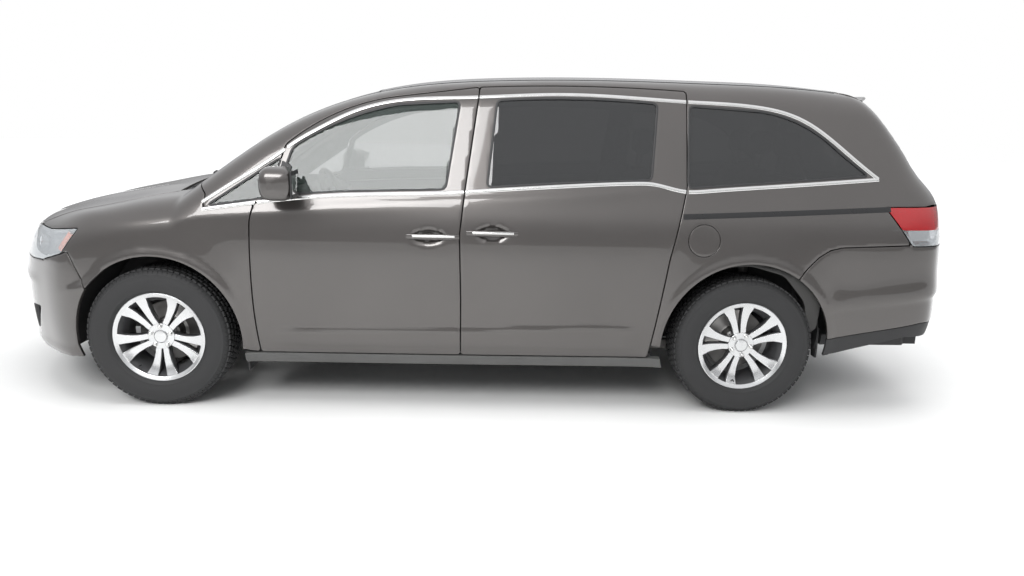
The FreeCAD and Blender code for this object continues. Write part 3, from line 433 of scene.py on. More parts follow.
# A panel with rolled edges and a closed back, laid on the form
def panelData(view, outers, holes=(), step=None, wall=9.0, sink=0.0, edge=None, shape=None):
    step = panels["step"] if step is None else step
    edge = panels["edge"] if edge is None else edge
    outers = [spaced(grown(l, -edge), step * 0.75) for l in outers]
    holes = [spaced(grown(l, edge), step * 0.75) for l in holes]
    flat, polys = filled(outers, holes, step)
    marks = nearness(flat, outers + holes, panels["edgeReach"])
    p = landed(view, flat)
    n = normalsAt(p)
    p = p - n * sink
    if shape is not None:
        p = shape(p, n, flat, marks)
    return closedPanel(p, n, polys, marks, wall, edge)


# Closes a sheet with a rolled rim and a back, and gives the distance to its edge
def closedPanel(p, n, polys, marks, wall, edge):
    a, b, c = (p[[poly[k] for poly in polys]] for k in range(3))
    facing = np.einsum("ij,ij->i", np.cross(b - a, c - a), n[[poly[0] for poly in polys]])
    if np.median(facing) < 0:
        polys = [poly[::-1] for poly in polys]
    rim = borders(polys)
    after, before = {}, {}
    for s, e in rim:
        after.setdefault(s, e)
        before.setdefault(e, s)
    ids = sorted(set(after) | set(before))
    spot = {v: k for k, v in enumerate(ids)}
    ahead = np.array([p[after.get(v, v)] for v in ids])
    behind = np.array([p[before.get(v, v)] for v in ids])
    along = ahead - behind
    along /= np.maximum(np.linalg.norm(along, axis=1), 1e-9)[:, None]
    nr = n[ids]
    out = np.cross(along, nr)
    out /= np.maximum(np.linalg.norm(out, axis=1), 1e-9)[:, None]
    base, count = len(p), len(ids)
    rings = []
    for t in (0.4, 0.8, math.pi / 2):
        rings.append(p[ids] + out * edge * math.sin(t) - nr * edge * (1 - math.cos(t)))
    rings.append(p[ids] + out * edge - nr * wall)
    verts = np.vstack([p] + rings + [p - n * wall])
    backBase = base + count * len(rings)
    polys = list(polys)
    faces = list(polys)
    for s, e in rim:
        i, j = spot[s], spot[e]
        low = (s, e)
        for k in range(len(rings)):
            high = (base + k * count + i, base + k * count + j)
            faces.append([low[1], low[0], high[0], high[1]])
            low = high
    lastRing = base + (len(rings) - 1) * count
    for poly in polys:
        faces.append([lastRing + spot[v] if v in spot else backBase + v for v in reversed(poly)])
    allMarks = np.concatenate([marks] + [np.zeros(count)] * len(rings) + [marks])
    used = np.unique(np.concatenate([np.array(f) for f in faces]))
    short = np.full(len(verts), -1)
    short[used] = np.arange(len(used))
    return verts[used], [[int(short[k]) for k in f] for f in faces], allMarks[used]


def mirroredData(data):
    verts, polys, marks = data
    return verts * np.array([1, -1, 1]), [poly[::-1] for poly in polys], marks


def joinedData(*parts):
    verts, polys, marks, base = [], [], [], 0
    for v, f, m in parts:
        verts.append(v)
        polys += [[k + base for k in poly] for poly in f]
        marks.append(m)
        base += len(v)
    return np.vstack(verts), polys, np.concatenate(marks)


def piece(name, data, material, body, replaces=()):
    obj = meshObject(name, data, material)
    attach(obj, body)
    if replaces:
        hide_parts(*replaces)
    return obj


# The same piece on both sides; a node name without a side goes with the left one
def pair(name, data, finish, body="root", replaces=()):
    for side, flip in (("left", False), ("right", True)):
        node = [r.format(side) for r in replaces if flip is False or "{}" in r]
        piece(f"{name}_{side}", mirroredData(data) if flip else data, finish, body.format(side), node)


# Shader trees, with arithmetic written as plain sums
class Sum:
    def __init__(self, kit, socket):
        self.kit, self.socket = kit, socket

    def __add__(self, o): return self.kit.maths("ADD", self, o)
    def __radd__(self, o): return self.kit.maths("ADD", o, self)
    def __sub__(self, o): return self.kit.maths("SUBTRACT", self, o)
    def __rsub__(self, o): return self.kit.maths("SUBTRACT", o, self)
    def __mul__(self, o): return self.kit.maths("MULTIPLY", self, o)
    def __rmul__(self, o): return self.kit.maths("MULTIPLY", o, self)
    def __truediv__(self, o): return self.kit.maths("DIVIDE", self, o)
    def __gt__(self, o): return self.kit.maths("GREATER_THAN", self, o)
    def __lt__(self, o): return self.kit.maths("LESS_THAN", self, o)
    def __pow__(self, o): return self.kit.maths("POWER", self, o)


class Finish:
    def __init__(self, name, world=None):
        if world is None:
            self.material = bpy.data.materials.new(name)
            self.material.use_nodes = True
        self.tree = (world or self.material).node_tree
        self.tree.nodes.clear()

    def node(self, kind, settings=None, inputs=None, out=0):
        made = self.tree.nodes.new(kind)
        for key, value in (settings or {}).items():
            if key == "stops":
                ramp = made.color_ramp.elements
                while len(ramp) < len(value):
                    ramp.new(0.5)
                for element, (at, colour) in zip(ramp, value):
                    element.position, element.color = at, colour
            else:
                setattr(made, key, value)
        for key, value in (inputs or {}).items():
            if isinstance(value, Sum):
                self.tree.links.new(value.socket, made.inputs[key])
            else:
                made.inputs[key].default_value = value
        return Sum(self, made.outputs[out]) if len(made.outputs) else None

    def maths(self, operation, a, b=0.0, clamp=False):
        return self.node("ShaderNodeMath", {"operation": operation, "use_clamp": clamp}, {0: a, 1: b})

    def coords(self):
        return self.node("ShaderNodeTexCoord", out=3)

    def noise(self, scale, detail=3.0, stretch=(1, 1, 1), roughness=0.5):
        at = self.node("ShaderNodeMapping", None, {0: self.coords(), 3: stretch})
        return self.node("ShaderNodeTexNoise", None,
                         {"Vector": at, "Scale": scale, "Detail": detail, "Roughness": roughness})

    def mixed(self, factor, a, b):
        return self.node("ShaderNodeMix", {"data_type": "RGBA"}, {0: factor, 6: a, 7: b}, out=2)

    def bumped(self, height, strength, distance=0.001):
        return self.node("ShaderNodeBump", None, {"Strength": strength, "Distance": distance, "Height": height})

    def surface(self, **inputs):
        names = {"colour": "Base Color", "roughness": "Roughness", "metallic": "Metallic", "normal": "Normal",
                 "alpha": "Alpha", "coat": "Coat Weight", "coatRoughness": "Coat Roughness", "sheen": "Sheen Weight",
                 "glow": "Emission Color", "glowStrength": "Emission Strength", "specular": "Specular IOR Level",
                 "ior": "IOR", "transmission": "Transmission Weight", "sheenRoughness": "Sheen Roughness"}
        shader = self.node("ShaderNodeBsdfPrincipled", None, {names[k]: v for k, v in inputs.items()})
        self.node("ShaderNodeOutputMaterial", None, {0: shader})
        return self.material


def rgb(r, g, b):
    return (r, g, b, 1.0)


def paintFinish(name, dark, light, metallic=0.72):
    f = Finish(name)
    flake = f.noise(1400, 2.0)
    drift = f.noise(1.7, 2.0)
    tone = f.mixed(f.maths("MULTIPLY", flake * 0.75 + drift * 0.35, 0.9, True), dark, light)
    film = f.noise(5.0, 4.0)
    return f.surface(colour=tone, metallic=metallic, roughness=film * 0.06 + 0.27, coat=1.0, coatRoughness=0.035,
                     normal=f.bumped(f.noise(60, 1.0), 0.015, 0.0006))


def plasticFinish(name, colour, roughness=0.55, grain=700.0, depth=0.25, vary=0.25):
    f = Finish(name)
    wear = f.noise(9.0, 5.0)
    darker = rgb(*(c * (1 - vary) for c in colour[:3]))
    brighter = rgb(*(c * (1 + vary) for c in colour[:3]))
    return f.surface(colour=f.mixed(wear, darker, brighter), roughness=wear * 0.2 + (roughness - 0.1),
                     normal=f.bumped(f.noise(grain, 2.0), depth, 0.0004))


def metalFinish(name, colour, roughness=0.25, metallic=1.0, brush=None, scratch=0.08):
    f = Finish(name)
    smear = f.noise(14.0, 5.0)
    streak = f.noise(300.0, 3.0, brush) if brush else f.noise(420.0, 3.0)
    darker = rgb(*(c * 0.86 for c in colour[:3]))
    return f.surface(colour=f.mixed(smear, darker, colour), metallic=metallic,
                     roughness=streak * scratch + smear * 0.08 + (roughness - 0.06),
                     normal=f.bumped(streak, 0.06, 0.0003))


def glassFinish(name, colour, clear, frit=0.0, fritColour=rgb(0.006, 0.006, 0.007)):
    f = Finish(name)
    facing = f.node("ShaderNodeLayerWeight", None, {"Blend": 0.32}, out=1)
    dust = f.noise(6.0, 4.0)
    alpha = facing ** 2.0 * clear + (1 - clear)
    tone = colour
    if frit:
        edge = f.node("ShaderNodeAttribute", {"attribute_name": "edge"}, out=2)
        band = f.maths("MULTIPLY", (frit - edge) * 0.35, 1.0, True)
        alpha = f.maths("MAXIMUM", alpha, band)
        tone = f.mixed(band, colour, fritColour)
    return f.surface(colour=tone, roughness=dust * 0.02 + 0.015, alpha=alpha, coat=1.0, coatRoughness=0.01)


def lensFinish(name, colour, clear, flute=0.0):
    f = Finish(name)
    facing = f.node("ShaderNodeLayerWeight", None, {"Blend": 0.3}, out=1)
    alpha = facing * clear + (1 - clear)
    haze = f.noise(30.0, 3.0)
    return f.surface(colour=colour, roughness=haze * 0.04 + 0.03, alpha=alpha, coat=1.0, coatRoughness=0.02,
                     normal=f.bumped(f.noise(flute or 40.0, 0.0, (1, 1, 6) if flute else (1, 1, 1)),
                                     0.2 if flute else 0.01, 0.001))


def weaveFinish(name, dark, light, pitch=900.0):
    f = Finish(name)
    at = f.coords()
    waves = [f.node("ShaderNodeTexWave", {"bands_direction": d}, {"Vector": at, "Scale": pitch / 6.0, "Distortion": 1.5,
             "Detail": 2.0}, out=1) for d in ("X", "Z")]
    thread = f.maths("MAXIMUM", waves[0], waves[1])
    drift = f.noise(12.0, 5.0)
    return f.surface(colour=f.mixed(f.maths("MULTIPLY", thread * 0.6 + drift * 0.5, 0.9, True), dark, light),
                     roughness=drift * 0.12 + 0.82, sheen=0.35, sheenRoughness=0.5,
                     normal=f.bumped(thread + f.noise(260.0, 3.0) * 0.6, 0.5, 0.0006))


def rubberFinish(name, colour):
    f = Finish(name)
    bloom = f.noise(11.0, 6.0)
    return f.surface(colour=f.mixed(bloom, colour, rgb(*(c * 2.1 for c in colour[:3]))),
                     roughness=bloom * 0.25 + 0.58, normal=f.bumped(f.noise(500.0, 3.0), 0.3, 0.0005))


paint = paintFinish("greyPaint", rgb(0.052, 0.048, 0.046), rgb(0.128, 0.118, 0.113))
pillarBlack = plasticFinish("pillarBlack", rgb(0.012, 0.012, 0.013), 0.3, 900.0, 0.05)
trimBlack = plasticFinish("trimBlack", rgb(0.022, 0.022, 0.023), 0.55, 650.0, 0.3)
garnishGrey = plasticFinish("garnishGrey", rgb(0.085, 0.085, 0.083), 0.5, 650.0, 0.25)
underBlack = plasticFinish("underBlack", rgb(0.03, 0.03, 0.031), 0.7, 120.0, 0.5, 0.4)
satinChrome = metalFinish("satinChrome", rgb(0.78, 0.78, 0.77), 0.16)
brightChrome = metalFinish("brightChrome", rgb(0.9, 0.9, 0.9), 0.08)
clearGlass = glassFinish("greenGlass", rgb(0.045, 0.062, 0.055), 0.62)
shieldGlass = glassFinish("shieldGlass", rgb(0.04, 0.055, 0.05), 0.62, frit=38.0)
darkGlass = glassFinish("privacyGlass", rgb(0.010, 0.011, 0.012), 0.24)
lensClear = lensFinish("lensClear", rgb(0.5, 0.53, 0.55), 0.93)
lensRed = lensFinish("lensRed", rgb(0.36, 0.003, 0.006), 0.14, 120.0)
lensAmber = lensFinish("lensAmber", rgb(0.85, 0.16, 0.01), 0.1, 120.0)
lampBowl = metalFinish("lampBowl", rgb(0.82, 0.83, 0.85), 0.1)
lampHousing = plasticFinish("lampHousing", rgb(0.16, 0.165, 0.17), 0.35, 500.0, 0.05)
tyreRubber = rubberFinish("tyreRubber", rgb(0.014, 0.014, 0.0145))
alloyFace = metalFinish("alloyFace", rgb(0.72, 0.725, 0.73), 0.2, 0.95, (1, 0.05, 1))
alloyPocket = plasticFinish("alloyPocket", rgb(0.045, 0.045, 0.047), 0.35, 500.0, 0.1)
discSteel = metalFinish("discSteel", rgb(0.42, 0.41, 0.4), 0.3, 1.0, (1, 0.02, 1), 0.25)
castIron = metalFinish("castIron", rgb(0.16, 0.155, 0.15), 0.6, 0.7)
exhaustSteel = metalFinish("exhaustSteel", rgb(0.33, 0.31, 0.29), 0.42, 0.9)
cabinDark = plasticFinish("cabinDark", rgb(0.035, 0.034, 0.033), 0.6, 420.0, 0.4)
liningCloth = plasticFinish("liningCloth", rgb(0.34, 0.32, 0.29), 0.9, 1400.0, 0.08, 0.1)
carpet = plasticFinish("carpet", rgb(0.05, 0.048, 0.046), 0.95, 1100.0, 1.0, 0.4)
seatCloth = weaveFinish("seatCloth", rgb(0.11, 0.105, 0.098), rgb(0.26, 0.25, 0.235))
print("stage: materials")


# Body panels
gap, roofEnd = panels["gap"], rearX - 476
postX = frontX - 1533
outlines = {
    "frontDoor": [(frontX - 512, 292), (frontX - 494, 600, frontX - 493, 974), (frontX - 513, 1056),
                  (frontX - 584, 1086),
                  (frontX - 655, roof - 395), (frontX - 880, roof - 245, frontX - 1187, roof - 150),
                  (postX - 77, roof - 92),
                  (postX - 74, roof - 142), (postX - 15, 1148), (postX + 9, 927), (postX, 600), (postX, 292)],
    "slidingDoor": [(postX, 292), (postX, 600), (postX + 9, 927), (postX - 15, 1148), (postX - 74, roof - 142),
                    (postX - 78, roof - 92), (postX - 500, roof - 76, rearX + 335, roof - 88), (rearX + 340, 1171),
                    (rearX + 371, 1038), (rearX + 420, 822), (rearX + 467, 510), (rearX + 496, 292)],
    "frontWindow": [(postX + 82, 1141), (postX + 18, roof - 167), (frontX - 1217, roof - 188),
                    (frontX - 960, roof - 262, frontX - 690, roof - 408), (frontX - 617, 1098), (frontX - 950, 1122)],
    "slidingWindow": [(postX - 122, 1156), (postX - 167, roof - 157),
                      (postX - 500, roof - 140, rearX + 485, roof - 154), (rearX + 519, 1206), (postX - 500, 1184)],
    "quarterWindow": [(rearX + 334, 1171), (rearX + 324, roof - 161), (rearX - 40, roof - 180),
                      (rearX - 300, roof - 262, rearX - 448, roof - 372), (rearX - 600, 1247)],
    "smallWindow": [(frontX - 281, 1040), (frontX - 640, roof - 455), (frontX - 572, 1084)],
}


def sideRing(points, **how):
    p = trace([(-s[0], s[1]) if len(s) == 2 else (-s[0], s[1], -s[2], s[3]) for s in points], **how)
    return landed(sideView, p)


def circleRing(x, z, radius, count=96):
    t = np.linspace(0, 2 * math.pi, count, endpoint=False)
    return np.stack([-(x + radius * np.cos(t)), z + radius * np.sin(t)], 1)


doorRing, slideRing = sideRing(outlines["frontDoor"]), sideRing(outlines["slidingDoor"])
windowRings = {k: sideRing(v, corner=26.0) for k, v in outlines.items() if k.endswith("Window")}
highSide = Aim(90, 22)


def doorPanel(ring, window):
    return panelData(sideView, [grown(sideView.flat(ring), -gap / 2)], [sideView.flat(window)], wall=34.0)


pair("doorSkin", doorPanel(doorRing, windowRings["frontWindow"]), paint, "door_{}", ("front_door_{}",))
pair("slideSkin", doorPanel(slideRing, windowRings["slidingWindow"]), paint, "root",
     ("sliding_door_{}",))
print("stage: doors")


# Glass sits a little below the skin
for name, ring, body, node, finish, slotName in (
        ("doorGlass", "frontWindow", "door_{}", ("front_door_glass_{}",), clearGlass, "clear_glass"),
        ("slideGlass", "slidingWindow", "root", ("sliding_door_glass",), darkGlass, "privacy_glass"),
        ("quarterPane", "quarterWindow", "root", ("quarter_glass",), darkGlass, "privacy_glass"),
        ("cornerPane", "smallWindow", "root", (), clearGlass, "clear_glass")):
    paneRing = grown(sideView.flat(windowRings[ring]), 6.0)
    pair(name, panelData(sideView, [paneRing], wall=5.0, sink=4.0, edge=0.8, step=24.0), finish, body, node)

# Outlines that run over several views: each leg is drawn in the view that shows it best
flatten = {"side": (sideView, 0, 1, -1, 1), "top": (topView, 1, 0, 1, -1), "back": (backView, 0, 1, -1, 1),
           "front": (frontView, 0, 1, 1, 1)}


def mixRing(*legs):
    out = []
    for view, points in legs:
        aim, first, second, a, b = flatten[view]
        path = [tuple(v for k in range(0, len(s), 2) for v in (a * s[k + first], b * s[k + second])) for s in points]
        out.append(landed(aim, trace(path, corner=0, closed=False) if len(path) > 1 else np.array(path, float)))
    return np.vstack(out)


def softened(loop, radius):
    step = np.linalg.norm(np.roll(loop, -1, 0) - loop, axis=1)
    loop = loop[step > 0.5]
    ahead, behind = np.roll(loop, -1, 0) - loop, loop - np.roll(loop, 1, 0)
    turn = np.einsum("ij,ij->i", ahead, behind) / (np.linalg.norm(ahead, axis=1) * np.linalg.norm(behind, axis=1))
    return rounded(loop, list(np.nonzero(turn < 0.94)[0]), radius)


# The ring of the other side, and the two halves in one
def flipped(ring):
    return ring[::-1] * np.array([1, -1, 1])


def wideRing(ring):
    return np.vstack([ring, flipped(ring)])


def formPanel(view, rings, holes=(), drawn=gap / 2, corner=12.0, **how):
    outers = [grown(softened(view.flat(r), corner), -drawn) for r in rings]
    return panelData(view, outers, [view.flat(h) for h in holes], **how)


def archRing(place):
    x, z, radius = place
    t = np.linspace(0, 2 * math.pi, 140, endpoint=False)
    return landed(sideView, np.stack([-(x + radius * np.cos(t)), np.maximum(z + radius * np.sin(t), 60.0)], 1))


arch = [archRing(place) for place in arches]
hoodCorner = (frontX + 735, 590)
pillarFoot = [(frontX - 513, 1056), (frontX - 265, 1029), (frontX - 272, 1094), (frontX - 222, 1140)]
shieldSide = [(frontX - 150, 690), (frontX - 640, 655, frontX - 1090, 646)]
shieldTop = [(frontX - 1090, 646), (frontX - 1069, 323, frontX - 1062, 0)]
coverEdge = [(rearX - 372, 250), (rearX - 350, 600), (rearX - 240, 728), (rearX - 290, 790), (rearX - 342, 843),
             (rearX - 398, 879), (rearX - 460, 893), (rearX - 813, 909)]
lampTop, lampSide = (rearX - 677, 1097), (rearX - 897, 1102)

fuel = {"x": rearX + 252, "z": 917.0, "hole": 81.5, "lid": 79.0}

# Body side: windshield pillar, cantrail, rear quarter, the lower frame behind the doors
bigRing = mixRing(
    ("side", [(frontX - 700, 380), (frontX - 700, 900), (frontX - 560, 1045)] + pillarFoot),
    ("top", shieldSide + [(roofEnd, 636)]), ("back", [(652, 1597), (792, 1190), (812, 1106)]),
    ("side", [lampSide, lampTop, (rearX - 825, 903)] + coverEdge[:0:-1]
     + [(rearX - 372, 380), (rearX + 200, 330), (rearX + 700, 380)]))
openings = [grown(highSide.flat(r), gap / 2) for r in (doorRing, slideRing)]
openings += [highSide.flat(windowRings[k]) for k in ("quarterWindow", "smallWindow")] + [highSide.flat(arch[1])]
fuelHole = highSide.flat(landed(sideView, circleRing(fuel["x"], fuel["z"], fuel["hole"])))
for side, flip, extra in (("left", False, [fuelHole]), ("right", True, [])):
    data = panelData(highSide, [grown(softened(highSide.flat(bigRing), 10.0), -gap / 2)], openings + extra, wall=30.0)
    piece(f"bodySide_{side}", mirroredData(data) if flip else data, paint, "root", (f"body_side_{side}",))
fuelDisc = panelData(sideView, [circleRing(fuel["x"], fuel["z"], fuel["lid"])], wall=3.0, edge=1.5, step=12.0)
piece("fuelLid", fuelDisc, paint, "fuel_lid", ("fuel_door",))

# Fenders
fenderView = Aim(80, 38)
hoodSide = [(frontX - 60, 715), (frontX + 180, 772, frontX + 470, 765), (frontX + 620, 700, *hoodCorner)]
fenderRing = mixRing(
    ("side", [(frontX - 512, 292), (frontX - 494, 600, frontX - 493, 974)] + pillarFoot),
    ("top", [(frontX - 150, 690), (frontX - 60, 700)] + hoodSide), ("front", [(610, 897), (690, 888), (790, 886)]),
    ("side", [(frontX + 553, 889), (frontX + 368, 911), (frontX + 474, 777), (frontX + 430, 795), (frontX + 332, 617),
              (frontX + 283, 400), (frontX - 200, 300)]))
pair("fenderSkin", formPanel(fenderView, [fenderRing], [arch[0]], wall=14.0), paint, replaces=("fenders",))

# Hood, roof and windshield
hoodHalf = mixRing(("top", [(frontX - 60, 0)] + hoodSide + [(noseX - 157, 300, noseX - 118, 0)]))


# Two long swells run over the hood from the pillars towards the lamps
def hoodSwell(p, n, flat, marks):
    line = np.interp(p[:, 0], [1500, 2450], [560, 330])
    swell = 7.0 * np.exp(-((np.abs(p[:, 1]) - line) / 70) ** 2) * step01(marks, 0, 100)
    return p + n * swell[:, None]


piece("hoodSkin", formPanel(topView, [wideRing(hoodHalf)], wall=18.0, shape=hoodSwell), paint, "hood_lid",
      ("hood",))
shieldHalf = mixRing(("top", [(frontX - 150, 0)] + shieldSide + shieldTop[1:]))
shieldData = formPanel(topView, [wideRing(shieldHalf)], wall=5.0, sink=3.0, edge=0.8, step=26.0, drawn=4.0, corner=30.0)
piece("shieldPane", shieldData, shieldGlass, "root", ("windshield",))
roofHalf = mixRing(("top", [(frontX - 1062, 0), (frontX - 1069, 323, frontX - 1090, 646), (roofEnd, 636),
                            (roofEnd, 0)]))
piece("roofSkin", formPanel(topView, [wideRing(roofHalf)], wall=24.0, step=24.0), paint, "root", ("roof",))
print("stage: sides, hood, roof")

# Tailgate with its window; the plate sits in a shallow pocket under a bar
hatchView = Aim(180, 28)
hatchFoot = [(812, 655), (770, 590), (740, 582), (0, 582)]
hatchHalf = mixRing(("top", [(roofEnd - 8, 0), (roofEnd - 8, 626)]),
                    ("back", [(652, 1597), (792, 1190), (812, 1100)] + hatchFoot))
paneHalf = mixRing(("back", [(0, roof - 148), (560, roof - 160), (640, roof - 260), (706, 1200), (0, 1178)]))
paneHole = softened(hatchView.flat(wideRing(paneHalf)), 40.0)


def hatchShape(p, n, flat, marks):
    y, z = np.abs(p[:, 1]), p[:, 2]
    pocket = (1 - step01(y, 262, 292)) * step01(z, 768, 800) * (1 - step01(z, 985, 1000))
    waist = 9.0 * np.exp(-((z - 1012 + y * 0.03) / 16) ** 2) * (1 - step01(y, 700, 800))
    return p + n * (waist - 26.0 * pocket)[:, None]


hatchOuter = grown(softened(hatchView.flat(wideRing(hatchHalf)), 30.0), -gap / 2)
piece("hatchSkin", panelData(hatchView, [hatchOuter], [paneHole], wall=12.0, shape=hatchShape), paint, "tailgate_lid",
      ("tailgate",))
piece("hatchPane", panelData(hatchView, [grown(paneHole, 7.0)], wall=5.0, sink=3.5, edge=0.8, step=26.0), darkGlass,
      "tailgate_lid", ("tailgate_glass",))

# Rear bumper over a black band, laid round an upright axis; the band is painted shade that stands for the dark
# reflection on the lower bumper paint
tailWrap, noseWrap = Wrap(rearX - 167.0, -1.0), Wrap(frontX + 83.0, 1.0)
shadeBandTop = [("back", [(0, 496)]), ("side", [(tailX + 208, 496), (rearX - 491, 418), (rearX - 365, 400)])]
bumperTop = [("side", coverEdge[1:] + [(rearX - 825, 903)]), ("back", [(812, 903)] + hatchFoot)]


def bumperShape(p, n, flat, marks):
    z = p[:, 2]
    rise = z - np.interp(-p[:, 0], [1780, 2520], [566, 660])
    lip = 12.0 * np.exp(-(rise / np.where(rise > 0, 80.0, 15.0)) ** 2)
    lip *= step01(-p[:, 0], 1790, 1900) * step01(marks, 0, 40)
    return p + n * lip[:, None]


rearCover = formPanel(tailWrap, [wideRing(mixRing(*shadeBandTop, *bumperTop))], [arch[1], flipped(arch[1])], wall=14.0,
                      shape=bumperShape)
piece("rearCover", rearCover, paint, "root", ("rear_bumper",))
# Painted shade: this black band stands for the dark reflection on the body-coloured lower bumper, not a black part
shadeBandHalf = mixRing(("back", [(0, 418), (560, 414)]),
                      ("side", [(tailX + 292, 416), (rearX - 506, 325), (rearX - 380, 300)]),
                      ("side", [(rearX - 365, 400), (rearX - 491, 418), (tailX + 208, 496)]), ("back", [(0, 496)]))
valance = formPanel(tailWrap, [wideRing(shadeBandHalf)], [arch[1], flipped(arch[1])], wall=14.0, sink=6.0)
piece("valance", valance, trimBlack, "root")
print("stage: tail")

# Front bumper with its grille opening, intake and fog lamp pockets
grilleRing = mixRing(("front", [(-400, 702), (400, 702), (440, 812), (0, 848, -440, 812)]))
intakeRing = mixRing(("front", [(-430, 306), (430, 306), (486, 440), (-486, 440)]))
fogRing = mixRing(("front", [(560, 300), (690, 330), (760, 470), (640, 452), (560, 430)]))
noseHalf = mixRing(("front", [(0, 232), (700, 234)]),
                   ("side", [(frontX + 560, 238), (frontX + 283, 250), (frontX + 332, 617), (frontX + 430, 795),
                             (frontX + 474, 777), (frontX + 622, 730)]),
                   ("front", [(826, 728), (700, 716), (560, 716), (488, 742), (498, 850), (560, 884), (590, 897)]),
                   ("top", [hoodCorner, (noseX - 157, 300, noseX - 118, 0)]))


def noseShape(p, n, flat, marks):
    y, z = np.abs(p[:, 1]), p[:, 2]
    shelf = 10.0 * np.exp(-((z - 650 + 0.06 * y) / 26) ** 2) * (1 - step01(y, 640, 800))
    chin = 8.0 * (1 - step01(z, 262, 300))
    return p + n * ((shelf + chin) * step01(marks, 0, 30))[:, None]


noseHoles = [grilleRing, intakeRing, fogRing, flipped(fogRing), arch[0], flipped(arch[0])]
noseCover = panelData(noseWrap, [grown(softened(noseWrap.flat(wideRing(noseHalf)), 12.0), -gap / 2)],
                      [softened(noseWrap.flat(r), 26.0) for r in noseHoles], wall=16.0, shape=noseShape)
piece("noseCover", noseCover, paint, "root", ("front_bumper",))
print("stage: nose")


# Plain solids: skins over rings of points, sweeps, turned forms and boxes with rolled edges
def solidData(verts, faces):
    v = np.asarray(verts, float)
    fans = np.array([(f[0], f[k], f[k + 1]) for f in faces for k in range(1, len(f) - 1)])
    a, b, c = (v[fans[:, k]] for k in range(3))
    if np.einsum("ij,ij->", a, np.cross(b, c)) < 0:
        faces = [f[::-1] for f in faces]
    return v, faces, np.zeros(len(v))


def ringSkin(rings, closed=False):
    rings = np.asarray(rings, float)
    n, m = rings.shape[:2]
    faces = [[i * m + j, i * m + (j + 1) % m, (i + 1) % n * m + (j + 1) % m, (i + 1) % n * m + j]
             for i in range(n if closed else n - 1) for j in range(m)]
    if not closed:
        faces += [list(range(m)), [(n - 1) * m + j for j in range(m)][::-1]]
    return solidData(rings.reshape(-1, 3), faces)


# A level run of places in a flat view
def levelLine(first, last, count, level):
    return np.stack([np.linspace(first, last, count), np.full(count, level)], 1)


def swept(path, up, section, closed=False, scale=None):
    path, up = np.asarray(path, float), np.asarray(up, float)
    ahead = np.roll(path, -1, 0) - np.roll(path, 1, 0) if closed else np.gradient(path, axis=0)
    ahead /= np.linalg.norm(ahead, axis=1)[:, None]
    up = np.broadcast_to(up, path.shape)
    across = np.cross(ahead, up)
    across /= np.linalg.norm(across, axis=1)[:, None]
    up = np.cross(across, ahead)
    size = np.ones(len(path)) if scale is None else np.asarray(scale, float)
    section = np.asarray(section, float)
    flat = section[None, :, :1] * across[:, None] + section[None, :, 1:] * up[:, None]
    return ringSkin(path[:, None] + size[:, None, None] * flat, closed)


def disc(radius, count=12, squash=1.0):
    t = np.linspace(0, 2 * math.pi, count, endpoint=False)
    return np.stack([radius * np.cos(t), radius * squash * np.sin(t)], 1)


def domed(width, height, depth=3.0):
    w = width / 2
    return [(-w, -depth), (w, -depth), (w, height * 0.45), (w * 0.8, height * 0.85), (0, height),
            (-w * 0.8, height * 0.85), (-w, height * 0.45)]


# A round tube through points
def tubeData(points, radius, count=12, spacing=12.0):
    knots = np.asarray(points, float)
    run = np.concatenate([[0], np.cumsum(np.linalg.norm(np.diff(knots, axis=0), axis=1))])
    at = np.linspace(0, run[-1], max(int(run[-1] / spacing), 3))
    along = [spline(list(zip(run, v)))(at) if len(knots) > 2 else np.interp(at, run, v) for v in knots.T]
    path = np.stack(along, 1)
    lean = np.abs(path[-1] - path[0])
    return swept(path, np.eye(3)[int(np.argmin(lean))], disc(radius, count))


# A profile of radii and places turned about the line through a point
def turned(profile, centre, axis=(0, 1, 0), count=96):
    axis = np.asarray(axis, float) / np.linalg.norm(axis)
    first = np.cross(axis, (0, 0, 1) if abs(axis[2]) < 0.9 else (1, 0, 0))
    first /= np.linalg.norm(first)
    second = np.cross(axis, first)
    t = np.linspace(0, 2 * math.pi, count, endpoint=False)
    around = np.cos(t)[:, None] * first + np.sin(t)[:, None] * second
    profile = np.asarray(profile, float)
    rings = np.asarray(centre, float) + around[:, None] * profile[None, :, :1] + axis * profile[None, :, 1:]
    return ringSkin(rings, True)


def placed(data, at=(0, 0, 0), turn=(0, 0, 0), order="XYZ"):
    spin = np.array(Matrix.Rotation(0, 3, "X"))
    for letter, angle in zip(order, turn):
        spin = np.array(Matrix.Rotation(math.radians(angle), 3, letter)) @ spin
    return data[0] @ spin.T + np.asarray(at, float), data[1], data[2]


def boxData(size, radius=3.0, at=(0, 0, 0), turn=(0, 0, 0), segments=3, bend=None):
    bm = bmesh.new()
    bmesh.ops.create_cube(bm, size=1.0)
    for v in bm.verts:
        v.co = Vector(c * s for c, s in zip(v.co, size))
    if radius:
        bmesh.ops.bevel(bm, geom=bm.edges[:], offset=radius, segments=segments, affect="EDGES", profile=0.5,
                        clamp_overlap=True)
    bm.verts.index_update()
    verts = np.array([v.co[:] for v in bm.verts])
    faces = [[v.index for v in f.verts] for f in bm.faces]
    bm.free()
    if bend:
        verts = bend(verts)
    return placed((verts, faces, np.zeros(len(verts))), at, turn)


# Lengths of a line on the body
def onSide(points):
    return sideRing(points, corner=0, closed=False, spacing=12.0)


# Both sides in one piece that rides on the root
def bothSides(name, data, finish):
    piece(name, joinedData(data, mirroredData(data)), finish, "root")


